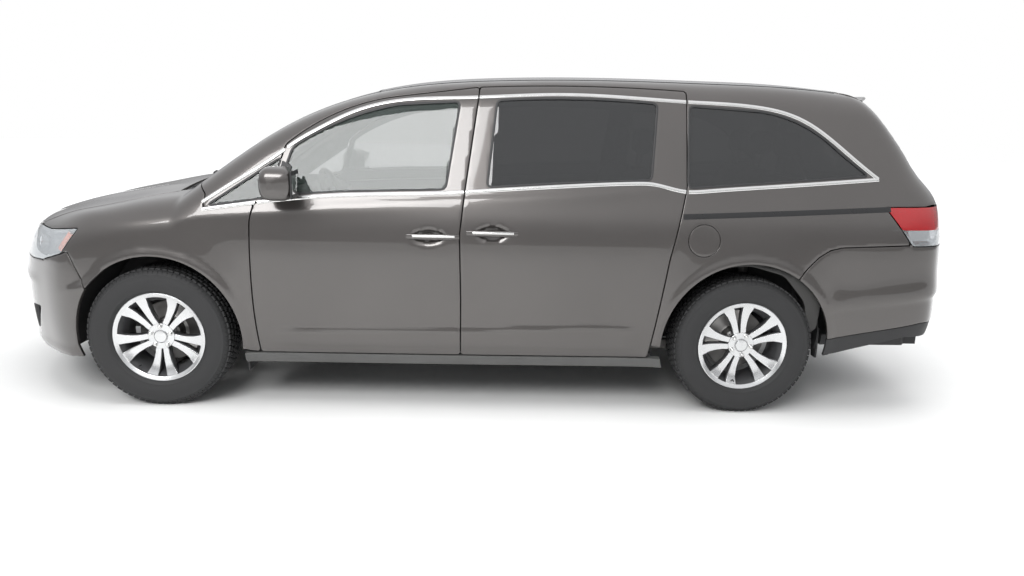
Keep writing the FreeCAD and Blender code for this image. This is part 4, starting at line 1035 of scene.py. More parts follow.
# Geometry node rules, each with named inputs
class Rule:
    def __init__(self, name, *inputs):
        self.tree = bpy.data.node_groups.new(name, "GeometryNodeTree")
        self.tree.interface.new_socket("Geometry", in_out="INPUT", socket_type="NodeSocketGeometry")
        self.keys = {}
        for label, kind in inputs:
            self.keys[label] = self.tree.interface.new_socket(label, in_out="INPUT",
                                                              socket_type=f"NodeSocket{kind}").identifier
        self.tree.interface.new_socket("Geometry", in_out="OUTPUT", socket_type="NodeSocketGeometry")
        self.source = self.tree.nodes.new("NodeGroupInput")

    def given(self, label):
        return self.source.outputs[label]

    def node(self, kind, settings=None, inputs=None):
        made = self.tree.nodes.new(kind)
        for key, value in (settings or {}).items():
            setattr(made, key, value)
        for key, value in (inputs or {}).items():
            if isinstance(value, bpy.types.NodeSocket):
                self.tree.links.new(value, made.inputs[key])
            else:
                made.inputs[key].default_value = value
        return made.outputs[0] if len(made.outputs) else None

    def done(self, geometry, smooth=True):
        shaded = self.node("GeometryNodeSetShadeSmooth", None, {"Geometry": geometry, "Shade Smooth": smooth})
        real = self.node("GeometryNodeRealizeInstances", None, {0: shaded})
        painted = self.node("GeometryNodeSetMaterial", None, {"Geometry": real, "Material": self.given("Material")})
        self.node("NodeGroupOutput", None, {0: painted})
        return self


# A mesh made by a rule, kept as plain mesh
def ruled(name, rule, verts, edges, faces, finish, body, slotName, replaces=(), at=(0, 0, 0), spin=0.0, flip=False,
          **given):
    mesh = bpy.data.meshes.new(name)
    mesh.from_pydata([tuple(v) for v in np.asarray(verts, float) * 0.001], edges, faces)
    obj = bpy.data.objects.new(name, mesh)
    scene.collection.objects.link(obj)
    modifier = obj.modifiers.new("rule", "NODES")
    modifier.node_group = rule.tree
    for label, value in dict(given, Material=finish).items():
        modifier[rule.keys[label]] = value
    made = bpy.data.meshes.new_from_object(obj.evaluated_get(bpy.context.evaluated_depsgraph_get()))
    obj.modifiers.remove(modifier)
    made.transform(Matrix.Translation(Vector(at) * 0.001) @ Matrix.Rotation(math.pi if flip else 0.0, 4, "Z")
                   @ Matrix.Rotation(math.radians(spin), 4, "Y"))
    obj.data = made
    obj.data.name = name
    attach(obj, body)
    if replaces:
        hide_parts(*replaces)
    return obj


# Bars that follow drawn lines
barRule = Rule("barsAlongLines", ("Width", "Float"), ("Depth", "Float"), ("Round", "Float"), ("Material", "Material"))
barLine = barRule.node("GeometryNodeMeshToCurve", None, {"Mesh": barRule.source.outputs[0]})
barTurn = barRule.node("GeometryNodeSetCurveNormal", {"mode": "Z_UP"}, {0: barLine})
barFace = barRule.node("GeometryNodeCurvePrimitiveQuadrilateral", None, {"Width": barRule.given("Width"),
                                                                       "Height": barRule.given("Depth")})
barSoft = barRule.node("GeometryNodeFilletCurve", {"mode": "POLY"},
                       {"Curve": barFace, "Radius": barRule.given("Round"), "Count": 3})
barRule.done(barRule.node("GeometryNodeCurveToMesh", None,
                          {"Curve": barTurn, "Profile Curve": barSoft, "Fill Caps": True}), False)

# Copies of one sector about the wheel's axle
turnRule = Rule("copiesRoundAxle", ("Count", "Int"), ("Material", "Material"))
turnPoints = turnRule.node("GeometryNodeMeshLine", {"mode": "OFFSET"},
                           {"Count": turnRule.given("Count"), "Offset": (0, 0, 0)})
turnIndex = turnRule.node("GeometryNodeInputIndex")
turnShare = turnRule.node("ShaderNodeMath", {"operation": "DIVIDE"}, {0: 2 * math.pi, 1: turnRule.given("Count")})
turnAngle = turnRule.node("ShaderNodeMath", {"operation": "MULTIPLY"}, {0: turnIndex, 1: turnShare})
turnSpin = turnRule.node("ShaderNodeCombineXYZ", None, {"Y": turnAngle})
turnCopies = turnRule.node("GeometryNodeInstanceOnPoints", None,
                           {"Points": turnPoints, "Instance": turnRule.source.outputs[0], "Rotation": turnSpin})
turnRule.done(turnCopies)

# Short threads laid end to end along drawn lines
seamRule = Rule("stitchesAlongLines", ("Pitch", "Float"), ("Thread", "Float"), ("Material", "Material"))
seamLine = seamRule.node("GeometryNodeMeshToCurve", None, {"Mesh": seamRule.source.outputs[0]})
seamPoints = seamRule.tree.nodes.new("GeometryNodeCurveToPoints")
seamPoints.mode = "LENGTH"
seamRule.tree.links.new(seamLine, seamPoints.inputs["Curve"])
seamRule.tree.links.new(seamRule.given("Pitch"), seamPoints.inputs["Length"])
seamBody = seamRule.node("GeometryNodeMeshIcoSphere", None, {"Radius": 1.0, "Subdivisions": 1})
seamLong = seamRule.node("ShaderNodeMath", {"operation": "MULTIPLY"}, {0: seamRule.given("Pitch"), 1: 0.36})
seamSize = seamRule.node("ShaderNodeCombineXYZ", None,
                         {"X": seamRule.given("Thread"), "Y": seamRule.given("Thread"), "Z": seamLong})
seamCopies = seamRule.node("GeometryNodeInstanceOnPoints", None,
                           {"Points": seamPoints.outputs["Points"], "Instance": seamBody,
                                                                  "Rotation": seamPoints.outputs["Rotation"],
                            "Scale": seamSize})
seamRule.done(seamCopies)


def lineMesh(paths):
    verts, edges = [], []
    for path in paths:
        base = len(verts)
        verts += [tuple(q) for q in path]
        edges += [(base + k, base + k + 1) for k in range(len(path) - 1)]
    return verts, edges


def bars(name, paths, width, depth, roundness, finish, body, slotName, replaces=()):
    verts, edges = lineMesh(paths)
    return ruled(name, barRule, verts, edges, [], finish, body, slotName, replaces, Width=width * 0.001,
                 Depth=depth * 0.001, Round=roundness * 0.001)


def stitches(name, paths, body, slotName, pitch, thread):
    verts, edges = lineMesh(paths)
    return ruled(name, seamRule, verts, edges, [], liningCloth, body, slotName, Pitch=pitch, Thread=thread)


print("stage: rules")

# Headlamps: lens, bucket, projector, bowl and turn lamp
lampRing = mixRing(("side", [(frontX + 622, 730), (frontX + 474, 777), (frontX + 368, 911), (frontX + 553, 889)]),
                   ("front", [(790, 886), (690, 888), (590, 884), (498, 850), (488, 742), (560, 716), (700, 716),
                              (826, 728)]))
lampOuter = grown(softened(noseWrap.flat(lampRing), 12.0), -2.5)


def bucketShape(depth, reach=14.0, lip=2.0):
    def sunk(p, n, flat, marks):
        return p - n * (depth * step01(marks, lip, reach))[:, None]
    return sunk


lensData = panelData(noseWrap, [lampOuter], wall=2.5, edge=1.5, step=14.0)
pair("headlampLens", lensData, lensClear, replaces=("headlamps",))
pair("headlampBucket", panelData(noseWrap, [grown(lampOuter, -3.0)], wall=2.0, sink=4.0, edge=0.5, step=9.0,
                                 shape=bucketShape(46.0, 24.0)), lampHousing)


def lampAt(y, z, depth):
    return landed(frontView, np.array([[y, z]]))[0] - np.array([depth, 0, 0])


bowls, projectors, bulbs = [], [], []
for y, z, r, depth in ((585, 800, 44, 46), (700, 800, 40, 50)):
    at = lampAt(y, z, depth)
    bowls.append(turned([(4, -26), (r * 0.6, -20), (r, 8), (r + 4, 10), (r + 4, 6), (r + 2, 4), (r * 0.62, -26),
                         (4, -31)], at, (1, 0, 0), 48))
    projectors.append(turned([(0.4, -10), (r * 0.5, -10), (r * 0.56, -4), (r * 0.5, 8), (r * 0.3, 15), (0.4, 18)], at,
                             (1, 0, 0), 40))
    bulbs.append(turned([(r * 0.57, -6), (r * 0.66, -6), (r * 0.68, 4), (r * 0.6, 6)], at, (1, 0, 0), 48))
bothSides("headlampBowls", joinedData(*bowls, *bulbs), lampBowl)
bothSides("headlampProjectors", joinedData(*projectors), lensClear)
turnPath = mixRing(("side", [(frontX + 430, 885), (frontX + 500, 800)]))
turnNormal = normalsAt(turnPath)
bothSides("headlampTurnLamp", swept(turnPath - turnNormal * 18, turnNormal, disc(19.0, 16, 0.6)), lensAmber)
eyebrow = mixRing(("side", [(frontX + 440, 893), (frontX + 553, 877)]),
                  ("front", [(790, 872), (690, 872), (590, 866), (512, 838)]))
eyebrow = spaced(eyebrow, 14.0, False)
bothSides("headlampBrow", swept(eyebrow - normalsAt(eyebrow) * 12, normalsAt(eyebrow), domed(9.0, 5.0, 14.0)), lampBowl)

# Tail lamps: red over clear, cut level
tailRing = mixRing(("side", [(rearX - 825, 903), (rearX - 677, 1097), lampSide]), ("back", [(812, 1105), (812, 904)]))
tailOuter = grown(softened(tailWrap.flat(tailRing), 10.0), -2.5)
lampCut = 985.0


def band(loop, low, high):
    out = loop.copy()
    out[:, 1] = np.clip(out[:, 1], low, high)
    step = np.linalg.norm(np.roll(out, -1, 0) - out, axis=1)
    return out[step > 0.3]


for name, low, high, finish in (("tailLampTop", lampCut + 0.5, 2000.0, lensRed),
                                ("tailLampFoot", 0.0, lampCut - 0.5, lensClear)):
    pair(name, panelData(tailWrap, [band(tailOuter, low, high)], wall=3.0, edge=0.8, step=13.0), finish,
         replaces=("tail_lamps",) if name == "tailLampTop" else ())
pair("tailLampBucket", panelData(tailWrap, [grown(tailOuter, -3.0)], wall=2.0, sink=4.5, edge=0.5, step=9.0,
                                 shape=bucketShape(34.0, 20.0)), lampBowl)

# Grille: bars across both openings in a dark mesh
def acrossNose(z, reach, depth, count=29):
    return landed(frontView, levelLine(-reach, reach, count, z)) - np.array([depth, 0, 0])


grille = {"low": 702.0, "high": 848.0, "bars": 3, "foot": 402.0, "top": 440.0, "depth": 14.0}
grillePitch = (grille["high"] - 12 - grille["low"]) / (grille["bars"] + 0.6)
grilleLevels = [grille["low"] + grillePitch * (k + 0.75) for k in range(grille["bars"])]
reaches = [np.interp(z, [grille["low"], 812], [grille["foot"], grille["top"]]) - 4 for z in grilleLevels]
bars("grilleBars", [acrossNose(z, r, grille["depth"]) for z, r in zip(grilleLevels, reaches)], 20.0, 15.0, 4.0,
     satinChrome, "root", "bright_trim", ("grille",))
grilleLoop = np.vstack([grilleRing, grilleRing[:1]])
bars("grilleFrame", [grilleLoop - normalsAt(grilleLoop) * 5.0], 11.0, 9.0, 3.0, satinChrome, "root", "bright_trim")
for name, ring in (("grilleBack", grilleRing), ("intakeBack", intakeRing)):
    backing = panelData(frontView, [grown(frontView.flat(ring), 8.0)], wall=3.0, sink=44.0, edge=0.5, step=24.0)
    piece(name, backing, trimBlack, "root")
latticeLines = []
for low, high, foot, top, pitch in ((706, 834, 398, 432, 24), (310, 436, 432, 480, 22)):
    for k in range(int((high - low) / pitch) + 1):
        z = low + k * pitch
        latticeLines.append(acrossNose(z, np.interp(z, [low, high], [foot, top]), 34.0))
    for y in np.arange(-foot + 20, foot, 34.0):
        q = landed(frontView, np.array([[y, low - 4.0], [y, high + 6.0]]))
        latticeLines.append(q - np.array([34.0, 0, 0]))
bars("grilleLattice", latticeLines, 5.0, 7.0, 1.0, trimBlack, "root", "black_plastic")
intakeLevels = (342.0, 378.0, 412.0)
bars("intakeBars", [acrossNose(z, np.interp(z, [306, 440], [426, 480]), 16.0) for z in intakeLevels], 11.0, 16.0, 3.0,
     trimBlack, "root", "black_plastic")

# Fog lamps in dark pockets
fogView = Aim(28, 0)
fogPocket = panelData(noseWrap, [grown(softened(noseWrap.flat(fogRing), 26.0), 3.0)], wall=2.0, sink=3.0, edge=0.5,
                      step=9.0, shape=bucketShape(38.0, 34.0, 3.0))
pair("fogPocket", fogPocket, trimBlack)
fogAt = landed(fogView, fogView.flat(landed(frontView, np.array([[655.0, 385.0]]))))[0] - fogView.out * 16
fogShell = turned([(30, -22), (45, -4), (48, 2), (44, 4), (40, -2), (26, -20)], fogAt, fogView.out, 56)
fogLens = turned([(0.4, -3), (41, -3), (41, 0), (30, 4), (0.4, 6)], fogAt, fogView.out, 56)
fogBowl = turned([(0.4, -22), (26, -19), (40, -5), (39, -4), (24, -17), (0.4, -19)], fogAt, fogView.out, 48)
pair("fogRing", fogShell, trimBlack)
pair("fogLens", fogLens, lensClear)
pair("fogBowl", fogBowl, lampBowl)
print("stage: lamps and grille")

# Bright strips above and below the side windows, dark seals round the glass
stripTop = spline([(x, z) for x, z in sorted([
    (frontX - 240, 1042), (frontX - 400, 1148), (frontX - 629, 1299), (frontX - 690, 1346), (frontX - 800, 1414),
    (frontX - 951, roof - 243), (frontX - 1210, roof - 170), (postX + 10, roof - 149), (postX - 167, roof - 139),
    (postX - 500, roof - 122), (rearX + 485, roof - 136), (rearX + 324, roof - 143), (rearX - 40, roof - 162),
    (rearX - 306, roof - 243), (rearX - 462, roof - 357), (rearX - 600, 1268), (rearX - 650, 1231)])])
stripFoot = spline([(x, z) for x, z in sorted([
    (frontX - 250, 1020), (frontX - 572, 1067), (frontX - 950, 1104), (postX + 82, 1124), (postX - 122, 1139),
    (postX - 500, 1167), (rearX + 600, 1188), (rearX + 520, 1187), (rearX + 430, 1169), (rearX + 350, 1154),
    (rearX + 240, 1158), (rearX - 100, 1186), (rearX - 650, 1232)])])
strips = {"width": 19.0, "height": 4.5, "sealWidth": 11.0}


def stripBetween(line, x0, x1):
    x = np.linspace(x0, x1, max(int(abs(x1 - x0) / 18), 6))
    path = landed(sideView, np.stack([-x, line(x)], 1))
    n = normalsAt(path)
    return swept(path, n, domed(strips["width"], strips["height"]))


rootStrips = joinedData(stripBetween(stripTop, frontX - 262, frontX - 651),
                        stripBetween(stripFoot, frontX - 262, frontX - 519),
                        stripBetween(stripTop, rearX + 329, rearX - 646),
                        stripBetween(stripFoot, rearX + 333, rearX - 648))
doorStrips = joinedData(stripBetween(stripTop, frontX - 666, postX - 70),
                        stripBetween(stripFoot, frontX - 531, postX - 8))
slideStrips = joinedData(stripBetween(stripTop, postX - 78, rearX + 340),
                         stripBetween(stripFoot, postX - 16, rearX + 347))
bothSides("bodyStrips", rootStrips, satinChrome)
pair("doorStrips", doorStrips, satinChrome, "door_{}")
bothSides("slideStrips", slideStrips, satinChrome)


def sealRound(ring):
    path = spaced(ring, 16.0)
    return swept(path, normalsAt(path), domed(strips["sealWidth"], 1.6, 6.0), True)


bothSides("quarterSeals",
          joinedData(*(sealRound(windowRings[k]) for k in ("quarterWindow", "smallWindow", "slidingWindow"))),
          trimBlack)
pair("doorSeal", sealRound(windowRings["frontWindow"]), trimBlack, "door_{}")
shieldRing = topView.flat(wideRing(shieldHalf))
shieldSeal = landed(topView, spaced(grown(softened(shieldRing, 30.0), -3.0), 20.0))
piece("shieldSeal", swept(shieldSeal, normalsAt(shieldSeal), domed(10.0, 0.6, 5.0), True), trimBlack, "root")
hatchSeal = landed(hatchView, spaced(paneHole, 20.0))
piece("hatchSeal", swept(hatchSeal, normalsAt(hatchSeal), domed(11.0, 1.2, 6.0), True), trimBlack, "tailgate_lid")

# Sill garnish under the doors, rail slot behind the sliding door, ditch strips on the roof
sillRing = mixRing(("side", [(rearX + 330, 236), (frontX - 430, 236), (frontX - 430, 287), (rearX + 330, 287)]))
bothSides("sillGarnish", formPanel(sideView, [sillRing], [arch[0], arch[1]], drawn=0.0, corner=4.0, wall=30.0,
                                   step=22.0),
          garnishGrey)
slotPath = onSide([(rearX + 362, 1033), (rearX - 200, 1060, rearX - 704, 1087)])
bothSides("railSlot", swept(slotPath, normalsAt(slotPath), domed(28.0, 0.8, 4.0)), pillarBlack)
ditch = landed(topView, np.stack([np.full(60, 640.0), -np.linspace(frontX - 1090, roofEnd + 6, 60)], 1))
bothSides("roofDitch", swept(ditch, normalsAt(ditch), domed(16.0, 1.0, 5.0)), trimBlack)

# Door handles: a bar over the hand recess with a bright insert
handle = {"front": (292.0, 60.0, 911.0), "slide": (-6.0, -232.0, 932.0), "tall": 29.0, "thick": 15.0, "lift": 7.0}


def handleData(x0, x1, z):
    ends = landed(sideView, np.array([[-x0 - 14, z + 2.0], [-x1 + 14, z + 2.0]]))
    t = np.linspace(0, 1, 26)[:, None]
    span = ends[0] + (ends[1] - ends[0]) * t
    rise = handle["lift"] * np.sin(math.pi * t[:, 0]) ** 0.35 - 3.0
    path = span + np.array([0, 1, 0]) * rise[:, None]
    taper = 0.72 + 0.28 * np.sin(math.pi * np.clip(t[:, 0], 0.02, 0.98)) ** 0.5
    w, h = handle["tall"] / 2, handle["thick"] / 2
    section = [(w * np.sign(math.cos(a)) * abs(math.cos(a)) ** 0.6, h * np.sign(math.sin(a)) * abs(math.sin(a)) ** 0.8)
               for a in np.linspace(0, 2 * math.pi, 24, endpoint=False)]
    bar = swept(path, (0, 1, 0), section, scale=taper)
    insert = swept(path[3:-2] + np.array([0, h - 0.6, 3.0]), (0, 1, 0), domed(10.0, 2.6, 2.0))
    mounts = [boxData((34, 24, 24), 6.0, path[k] - np.array([0, 14, 0])) for k in (2, -3)]
    return joinedData(bar, *mounts), insert


for name, key, body in (("door", "front", "door_{}"), ("slide", "slide", "root")):
    bar, insert = handleData(*handle[key])
    pair(f"{name}Handle", bar, paint, body)
    pair(f"{name}HandleInsert", insert, satinChrome, body)
lockAt = landed(sideView, np.array([[-frontX + 1482.0, 911.0]]))[0]
pair("doorLock", turned([(0.4, -4), (9, -4), (9, 3), (7.5, 4.6), (0.4, 5)], lockAt, (0.05, 1, 0.02), 28), satinChrome,
     "door_{}")

# Mirrors: painted shell on a dark foot, with the glass facing back
mirror = {"x": 935.0, "y": 1030.0, "z": 1161.0, "paneX": 828.0, "back": 104.0}
mirrorSections = [(946, 26, 40, 2), (956, 44, 62, 0), (978, 54, 74, 0), (1030, 59, 81, 2), (1080, 57, 80, 2),
                  (1112, 50, 72, 0), (1128, 40, 60, -2), (1136, 24, 42, -4), (1139, 8, 18, -4)]


def mirrorRing(y, deep, tall, drop):
    ring = []
    for a in np.linspace(0, 2 * math.pi, 40, endpoint=False):
        c, s = math.cos(a), math.sin(a)
        x = deep * abs(c) ** 0.75 if c > 0 else -mirror["back"] * min(1.0, deep / 44.0) * abs(c) ** 0.35
        ring.append((mirror["x"] + x - (y - mirror["y"]) * 0.06, y,
                     mirror["z"] + drop + tall * np.sign(s) * abs(s) ** 0.8))
    return ring


shell = ringSkin([mirrorRing(*row) for row in mirrorSections])
pair("mirrorShell", shell, paint, "door_{}", ("mirror_{}",))


def glassTaper(v):
    return v * np.where(np.abs(v[:, 1:2]) > 60, [1, 1, 0.8], [1, 1, 1])


mirrorPane = boxData((6, 152, 112), 2.9, (mirror["paneX"], mirror["y"] + 10.0, mirror["z"]), (0, 0, 3.5), 3, glassTaper)
mirrorRim = boxData((10, 168, 130), 4.8, (mirror["paneX"] + 3.0, mirror["y"] + 10.0, mirror["z"]), (0, 0, 3.5))
pair("mirrorRim", mirrorRim, trimBlack, "door_{}")
pair("mirrorGlass", mirrorPane, brightChrome, "door_{}")
foot = ringSkin([[(mirror["x"] + 1 + u * 2 * s + lean, y, 1098 + drop + v * s) for u, v in disc(15.0, 24)]
                 for y, s, lean, drop in ((900, 1.5, 10, -2), (930, 1.25, 6, 0), (960, 1.0, 2, 6), (985, 0.9, 0, 12))])
pair("mirrorFoot", foot, trimBlack, "door_{}")
sailRing = np.array([(642 - frontX, 1262), (690 - frontX, 1240), (668 - frontX, 1107), (606 - frontX, 1100)])
sail = panelData(sideView, [sailRing], wall=5.0, edge=2.0, step=10.0)
pair("mirrorSail", placed(sail, (0, 1.6, 0)), trimBlack, "door_{}")

# Cowl with its vents, and three wipers
cowlRing = mixRing(("top", [(frontX - 149, 0), (frontX - 149, 664), (frontX - 66, 690), (frontX - 66, 0)]))
cowlPanel = formPanel(topView, [wideRing(cowlRing)], drawn=1.0, corner=8.0, wall=10.0, sink=9.0, step=20.0)
piece("cowlPanel", cowlPanel, trimBlack, "root", ("cowl",))
ventLines = [landed(topView, levelLine(-600, 600, 40,
                                       -(frontX - d))) - np.array([0, 0, 8.0]) for d in (80, 92, 104, 116)]
bars("cowlVents", ventLines, 5.0, 7.0, 1.2, trimBlack, "root", "black_plastic")


# A wiper: pivot, arm bent over the pane, and a blade that follows it
def wiperParts(view, pivot, knee, ends, lift=12.0):
    spots = landed(view, np.array([pivot, knee, *ends], float))
    n = normalsAt(spots)
    high = spots + n * lift
    arm = swept(spaced(np.array([high[0] + n[0] * 4, high[0] * 0.5 + high[1] * 0.5 + n[1] * 14, high[1] + n[1] * 4]),
                       14.0, False), n[1],
                [(-8, -4), (8, -4), (7, 4), (-7, 4)])
    t = np.linspace(0, 1, 40)[:, None]
    line = landed(view, np.array(ends[0], float) + (np.array(ends[1], float) - np.array(ends[0], float)) * t)
    up = normalsAt(line)
    blade = swept(line + up * 8.5, up, [(-2, -7), (2, -7), (7, 3), (4, 7), (-4, 7), (-7, 3)])
    hub = turned([(0.4, -18), (15, -18), (15, 12), (11, 17), (0.4, 18)], high[0], n[0], 28)
    clip = boxData((44, 18, 14), 4.0, spots[1] + n[1] * 12.0)
    return joinedData(arm, blade, hub, clip)


wipers = joinedData(wiperParts(topView, (430, -(frontX - 160)), (-40, -(frontX - 190)),
                               ((-300, -(frontX - 172)), (232, -(frontX - 208)))),
                    wiperParts(topView, (-300, -(frontX - 162)), (-560, -(frontX - 205)),
                               ((-640, -(frontX - 190)), (-330, -(frontX - 212)))))
piece("wipers", wipers, trimBlack, "root")
rearWiper = wiperParts(backView, (0, 1195), (-120, 1216), ((-300, 1226), (110, 1206)), 12.0)
piece("rearWiper", rearWiper, trimBlack, "tailgate_lid")

# Tailgate dress: spoiler, stop lamp, plate, handle bar; reflectors and sensors on the cover
spoiler = {"half": 600.0, "rows": 61, "reach": 52.0, "rise": 26.0}
spoilerBack = landed(backView, levelLine(-spoiler["half"], spoiler["half"], spoiler["rows"], roof - 118))
crownRow = landed(topView, levelLine(-spoiler["half"], spoiler["half"], spoiler["rows"], -(roofEnd - 30)))
rows = []
for top, low, y in zip(crownRow, spoilerBack, np.linspace(-spoiler["half"], spoiler["half"], spoiler["rows"])):
    fade = 1 - step01(abs(y), spoiler["half"] - 80, spoiler["half"]) * 0.8
    n = normalsAt(np.array([low]))[0]
    tip = low + np.array([-spoiler["reach"], 0, spoiler["rise"]]) * fade
    rows.append([top + (0, 0, 1.0), top * 0.45 + low * 0.55 + n * 24 * fade, tip + (8, 0, 8), tip + (0, 0, 2),
                 tip + (4, 0, -6), low + n * 6 * fade, low - n * 6, top - (0, 0, 12.0)])
piece("spoiler", ringSkin(rows), paint, "tailgate_lid")
stopAt = landed(backView, np.array([[0.0, roof - 128.0]]))[0]
piece("stopLamp", boxData((14, 300, 16), 4.0, stopAt + np.array([-14, 0, -6.0])), lensRed, "tailgate_lid")
plate = {"size": (3, 305, 152), "boltY": 88.9, "boltZ": 62.0}
plateAt = np.array([tailX + 42.0, 0, 880.0])
plateWhite = plasticFinish("plateWhite", rgb(0.62, 0.62, 0.6), 0.4, 500.0, 0.05, 0.08)
piece("plate", boxData(plate["size"], 1.4, plateAt, (0, -3, 0)), plateWhite, "tailgate_lid")
bolts = [turned([(0.4, -2), (7, -2), (7, 1.5), (4, 3.5), (0.4, 3.5)], plateAt + np.array([-2.0, y, z]), (-1, 0, 0), 20)
         for y in (-plate["boltY"], plate["boltY"]) for z in (plate["boltZ"], -plate["boltZ"])]
piece("plateBolts", joinedData(*bolts), satinChrome, "tailgate_lid")
hatchBarLine = landed(backView, levelLine(-430, 430, 50, 1012.0))
hatchBar = swept(hatchBarLine + np.array([-8.0, 0, 0]), normalsAt(hatchBarLine), domed(30.0, 7.0, 14.0))
piece("hatchBar", hatchBar, satinChrome, "tailgate_lid")
reflectorLine = landed(backView, levelLine(-700, -560, 12, 470.0))
reflector = swept(reflectorLine, normalsAt(reflectorLine), domed(26.0, 5.0, 6.0))
bothSides("rearReflector", reflector, lensRed)
sensorAt = landed(backView, np.array([[-250.0, 560], [-640.0, 566]]))
sensors = [turned([(0.4, -3), (9, -3), (9, 1.5), (0.4, 2.2)], q - n * 0.4, n, 22)
           for q, n in zip(sensorAt, normalsAt(sensorAt))]
bothSides("rearSensors", joinedData(*sensors), paint)
print("stage: trim")

# Wheels: barrel, five pairs of spokes, nuts, cap, disc, and a tyre with its tread blocks
wheel = {"spokePairs": 5, "nuts": 5, "nutCircle": 52.0, "pitches": 72, "ribs": 90, "treadRadius": 361.7,
         "valveCircle": 190.0, "valveOut": 84.0, "frontTrack": 865.0, "rearTrack": 867.5}
dish = spline([(40, 64), (60, 66), (140, 74), (180, 81), (207, 90), (218, 94)])
lipShape = [(211, 91), (224, 98), (229, 100), (233, 98.5), (233, 90), (224, 86), (216, 80), (211, 84)]
barrelShape = [(222, 86), (214, 60), (196, 40), (192, -20), (200, -70), (221, -84), (233, -92), (233, -100),
               (226, -100), (212, -80), (188, -62), (180, -20), (184, 40), (200, 68), (211, 84), (216, 90)]
hubShape = [(0.4, 28), (60, 28), (70, 40), (70, 64), (66, 69), (36, 71), (34, 67), (0.4, 67)]
capShape = [(0.4, 66), (32, 66), (32, 74), (29, 78), (14, 80), (0.4, 80.6)]
discShape = [(62, -79), (158, -79), (160, -77), (160, -69), (150, -68.5), (150, -63.5), (160, -63), (160, -55),
             (158, -53), (82, -53), (78, -50), (78, 18), (40, 22), (40, 14), (70, 10), (70, -62), (62, -64)]
sidewall = [(234, 95), (241, 107), (247, 109.5), (249, 111.5), (252, 111), (264, 115), (282, 117.6), (297, 118),
            (312, 116.6), (326, 112.8), (329, 113.4), (332, 111.4), (341, 106), (349, 98), (353, 90)]
tyreShape = sidewall + [(354.5, 60), (355, 20), (355, -20),
                        (354.5, -60)] + [(r, -y) for r, y in sidewall[::-1]] + [(226, -88), (226, 88)]
spokeShape = ((3.5, 58), (8, 110), (15, 160), (25, 213), (81, 199), (56, 160), (43, 125), (35, 92), (32, 62))
faceParts, pocketParts = [], []
for lean in (-1, 1):
    outline = trace([(lean * x, z) for x, z in spokeShape], 5.0, 5.0)
    for parts, sink, wall, swell, step in ((faceParts, 0.0, 7.0, 0.0, 7.0), (pocketParts, 6.0, 32.0, 2.6, 13.0)):
        flat, polys = filled([spaced(grown(outline, swell - 1.0), step * 0.8)], [], step)
        face = np.stack([flat[:, 0], dish(np.hypot(flat[:, 0], flat[:, 1])) - sink, flat[:, 1]], 1)
        parts.append(closedPanel(face, np.tile([0.0, 1.0, 0.0], (len(face), 1)), polys, np.zeros(len(face)), wall, 1.0))
spokeFaces, spokePockets = joinedData(*faceParts), joinedData(*pocketParts)
nutAt = np.array([0.0, 0.0, wheel["nutCircle"]])
nutSector = placed(joinedData(turned([(0.4, 66), (9.5, 66), (10.2, 68), (10.2, 80), (8, 84), (4, 85), (0.4, 85)], nutAt,
                                     count=6),
                              turned([(10.4, 66), (14, 66), (14, 69.5), (12.6, 70.6), (10.4, 70)], nutAt, count=24)),
                   turn=(36,), order="Y")
blocks = []
for y, width, phase in ((-78, 33, 0.0), (-40, 31, 2.5), (0, 29, 0.0), (40, 31, 2.5), (78, 33, 0.0)):
    block = boxData((26.0, width, 9.0), 1.2, (0, y, wheel["treadRadius"] - 4.5 - 0.00028 * y * y),
                    (0, 0, 10.0 if y < 0 else -10.0), 1)
    blocks.append(placed(block, turn=(phase,), order="Y"))
blockSector = joinedData(*blocks)
ribSector = boxData((1.6, 7.0, 16.0), 0.5, (0, 105.2, 340.0), (24.0, 0, 0), 1)
for name, x, y, spin, body in (
        ("front_left", frontX, wheel["frontTrack"], 36.0, "wheel_fl"),
        ("front_right", frontX, -wheel["frontTrack"], 36.0, "wheel_fr"),
        ("rear_left", rearX, wheel["rearTrack"], 10.0, "wheel_rl"),
        ("rear_right", rearX, -wheel["rearTrack"], 10.0, "wheel_rr")):
    at, facing, flip = (x, y, van["axleHeight"]), (0, 1 if y > 0 else -1, 0), y < 0
    piece(f"tyreBody_{name}", turned(tyreShape, at, facing, 96), tyreRubber, body, (f"tyre_{name}",))
    piece(f"rimBarrel_{name}", turned(barrelShape, at, facing, 96), alloyPocket, body, (f"rim_{name}",))
    piece(f"rimLip_{name}", turned(lipShape, at, facing, 96), alloyFace, body)
    piece(f"rimHub_{name}", joinedData(turned(hubShape, at, facing, 72), turned(capShape, at, facing, 72)), alloyFace,
          body)
    piece(f"brakeDisc_{name}", turned(discShape, at, facing, 96), discSteel, body)
    for label, sector, finish, slotName, count in (
            ("rimSpokes", spokeFaces, alloyFace, "alloy", "spokePairs"),
            ("rimPockets", spokePockets, alloyPocket, "alloy", "spokePairs"),
            ("wheelNuts", nutSector, satinChrome, "bright_trim", "nuts"),
            ("tyreTread", blockSector, tyreRubber, "tyre", "pitches"),
            ("tyreRibs", ribSector, tyreRubber, "tyre", "ribs")):
        ruled(f"{label}_{name}", turnRule, sector[0], [], sector[1], finish, body, slotName, Count=wheel[count],
              at=at, spin=spin, flip=flip)
    way = math.radians(spin)
    stem = np.array(at) + (wheel["valveCircle"] * math.sin(way), facing[1] * wheel["valveOut"],
                           -wheel["valveCircle"] * math.cos(way))
    piece(f"valve_{name}", turned([(0.4, -8), (4, -8), (4.5, 12), (3.6, 22), (0.4, 23)], stem, facing, 16), trimBlack,
          body)
print("stage: wheels")

